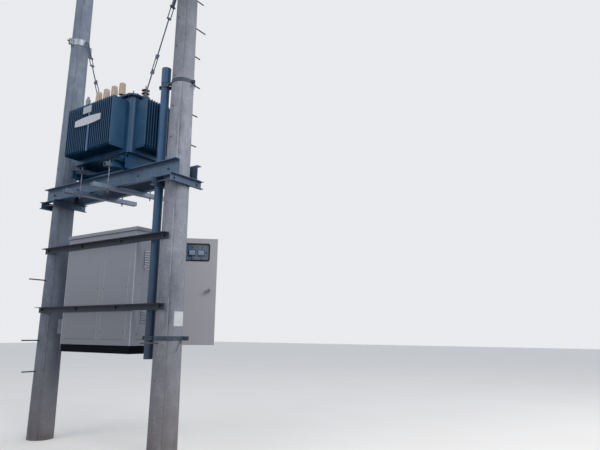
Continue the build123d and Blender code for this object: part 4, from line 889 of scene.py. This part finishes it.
def makeRivets():
    bm = bmesh.new()
    for node in ("name_plate", "rating_plate"):
        inset, shares = rivets[node]
        low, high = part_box(node)
        for x in (low.x + inset, high.x - inset):
            for share in shares:
                turn = standing((x, low.y, low.z + (high.z - low.z) * share), (0, -1, 0))
                addPlug(bm, turn, 0.0, rivets["rise"], rivets["radius"], rivets["top"], rivets["sides"])
    addObject("plateRivets", bm, "zincSheet")


makeRivets()
print("rivets")


# floor, light and camera

studio = {"floor": fromRgb(232, 226, 216), "floorOther": fromRgb(234, 229, 220), "floorNoise": (0.6, 2.0),
          "floorTone": (0.3, 0.7), "floorRough": 0.9, "floorHalf": 60.0, "underfoot": fromRgb(94, 95, 98),
          "sky": fromRgb(226, 235, 252), "skyStrength": 0.84, "back": fromRgb(240, 241, 244),
          "backStrength": 0.94}
lamps = {"key": {"place": (12.0, -4.0, 12.0), "aim": (1.2, 0.0, 3.0), "size": 6.0, "power": 530.0},
         "fill": {"place": (-1.0, -11.0, 9.0), "aim": (1.2, 0.0, 3.0), "size": 7.0, "power": 290.0},
         "side": {"place": (15.0, 4.0, 7.0), "aim": (1.6, 0.0, 2.6), "size": 7.0, "power": 640.0}}


def seenRays(tree):
    # 1 for what the camera sees straight, mirrored or through glass, and 0 for what only lights the object
    path = tree.nodes.new("ShaderNodeLightPath")
    either = path.outputs["Is Camera Ray"]
    for name in ("Is Glossy Ray", "Is Transmission Ray"):
        node = tree.nodes.new("ShaderNodeMath")
        node.operation = "MAXIMUM"
        tree.links.new(either, node.inputs[0])
        tree.links.new(path.outputs[name], node.inputs[1])
        either = node.outputs[0]
    return either


def makeFloor():
    bm = bmesh.new()
    bmesh.ops.create_grid(bm, x_segments=2, y_segments=2, size=studio["floorHalf"])
    mesh = bpy.data.meshes.new("floor")
    bm.to_mesh(mesh)
    bm.free()
    p = Paint("floorPaint")
    pale = p.layer(studio["floor"], p.noise(*studio["floorNoise"]), studio["floorTone"], studio["floorOther"])
    p.finish(p.mix(seenRays(p.tree), studio["underfoot"], pale), studio["floorRough"])
    mesh.materials.append(p.material)
    floor = bpy.data.objects.new("floor", mesh)
    bpy.context.scene.collection.objects.link(floor)


def makeWorld():
    world = bpy.data.worlds.new("studio")
    bpy.context.scene.world = world
    world.use_nodes = True
    tree = world.node_tree
    tree.nodes.clear()
    out = tree.nodes.new("ShaderNodeOutputWorld")
    mix = tree.nodes.new("ShaderNodeMixShader")
    tree.links.new(seenRays(tree), mix.inputs[0])
    for slot, name in ((1, "sky"), (2, "back")):
        glow = tree.nodes.new("ShaderNodeBackground")
        glow.inputs[0].default_value = studio[name]
        glow.inputs[1].default_value = studio[name + "Strength"]
        tree.links.new(glow.outputs[0], mix.inputs[slot])
    tree.links.new(mix.outputs[0], out.inputs[0])


def makeLamps():
    for name, look in lamps.items():
        lamp = bpy.data.lights.new(name, "AREA")
        lamp.size = look["size"]
        lamp.energy = look["power"]
        item = bpy.data.objects.new(name, lamp)
        item.location = look["place"]
        aim = Vector(look["aim"]) - Vector(look["place"])
        item.rotation_euler = aim.to_track_quat("-Z", "Y").to_euler()
        bpy.context.scene.collection.objects.link(item)


cameraPlace = {"yaw": 33.522, "pitch": 11.797, "roll": 0.406, "place": (7.185, -4.372, 1.451), "lens": 31.05,
               "sensor": 36, "farClip": 200}


def makeCamera():
    yaw, pitch, roll = (math.radians(cameraPlace[key]) for key in ("yaw", "pitch", "roll"))
    forward = Vector((-math.sin(yaw) * math.cos(pitch), math.cos(yaw) * math.cos(pitch), math.sin(pitch)))
    right = Vector((math.cos(yaw), math.sin(yaw), 0))
    up = right.cross(forward)
    turnedRight = right * math.cos(roll) + up * math.sin(roll)
    turnedUp = up * math.cos(roll) - right * math.sin(roll)
    lens = bpy.data.cameras.new("camera")
    lens.lens = cameraPlace["lens"]
    lens.sensor_width = cameraPlace["sensor"]
    lens.clip_end = cameraPlace["farClip"]
    camera = bpy.data.objects.new("camera", lens)
    turn = Matrix((turnedRight, turnedUp, -forward)).transposed().to_4x4()
    camera.matrix_world = Matrix.Translation(cameraPlace["place"]) @ turn
    bpy.context.scene.collection.objects.link(camera)
    bpy.context.scene.camera = camera


makeFloor()
makeWorld()
makeLamps()
makeCamera()
bpy.context.scene.view_settings.view_transform = "Standard"
print("studio and camera")
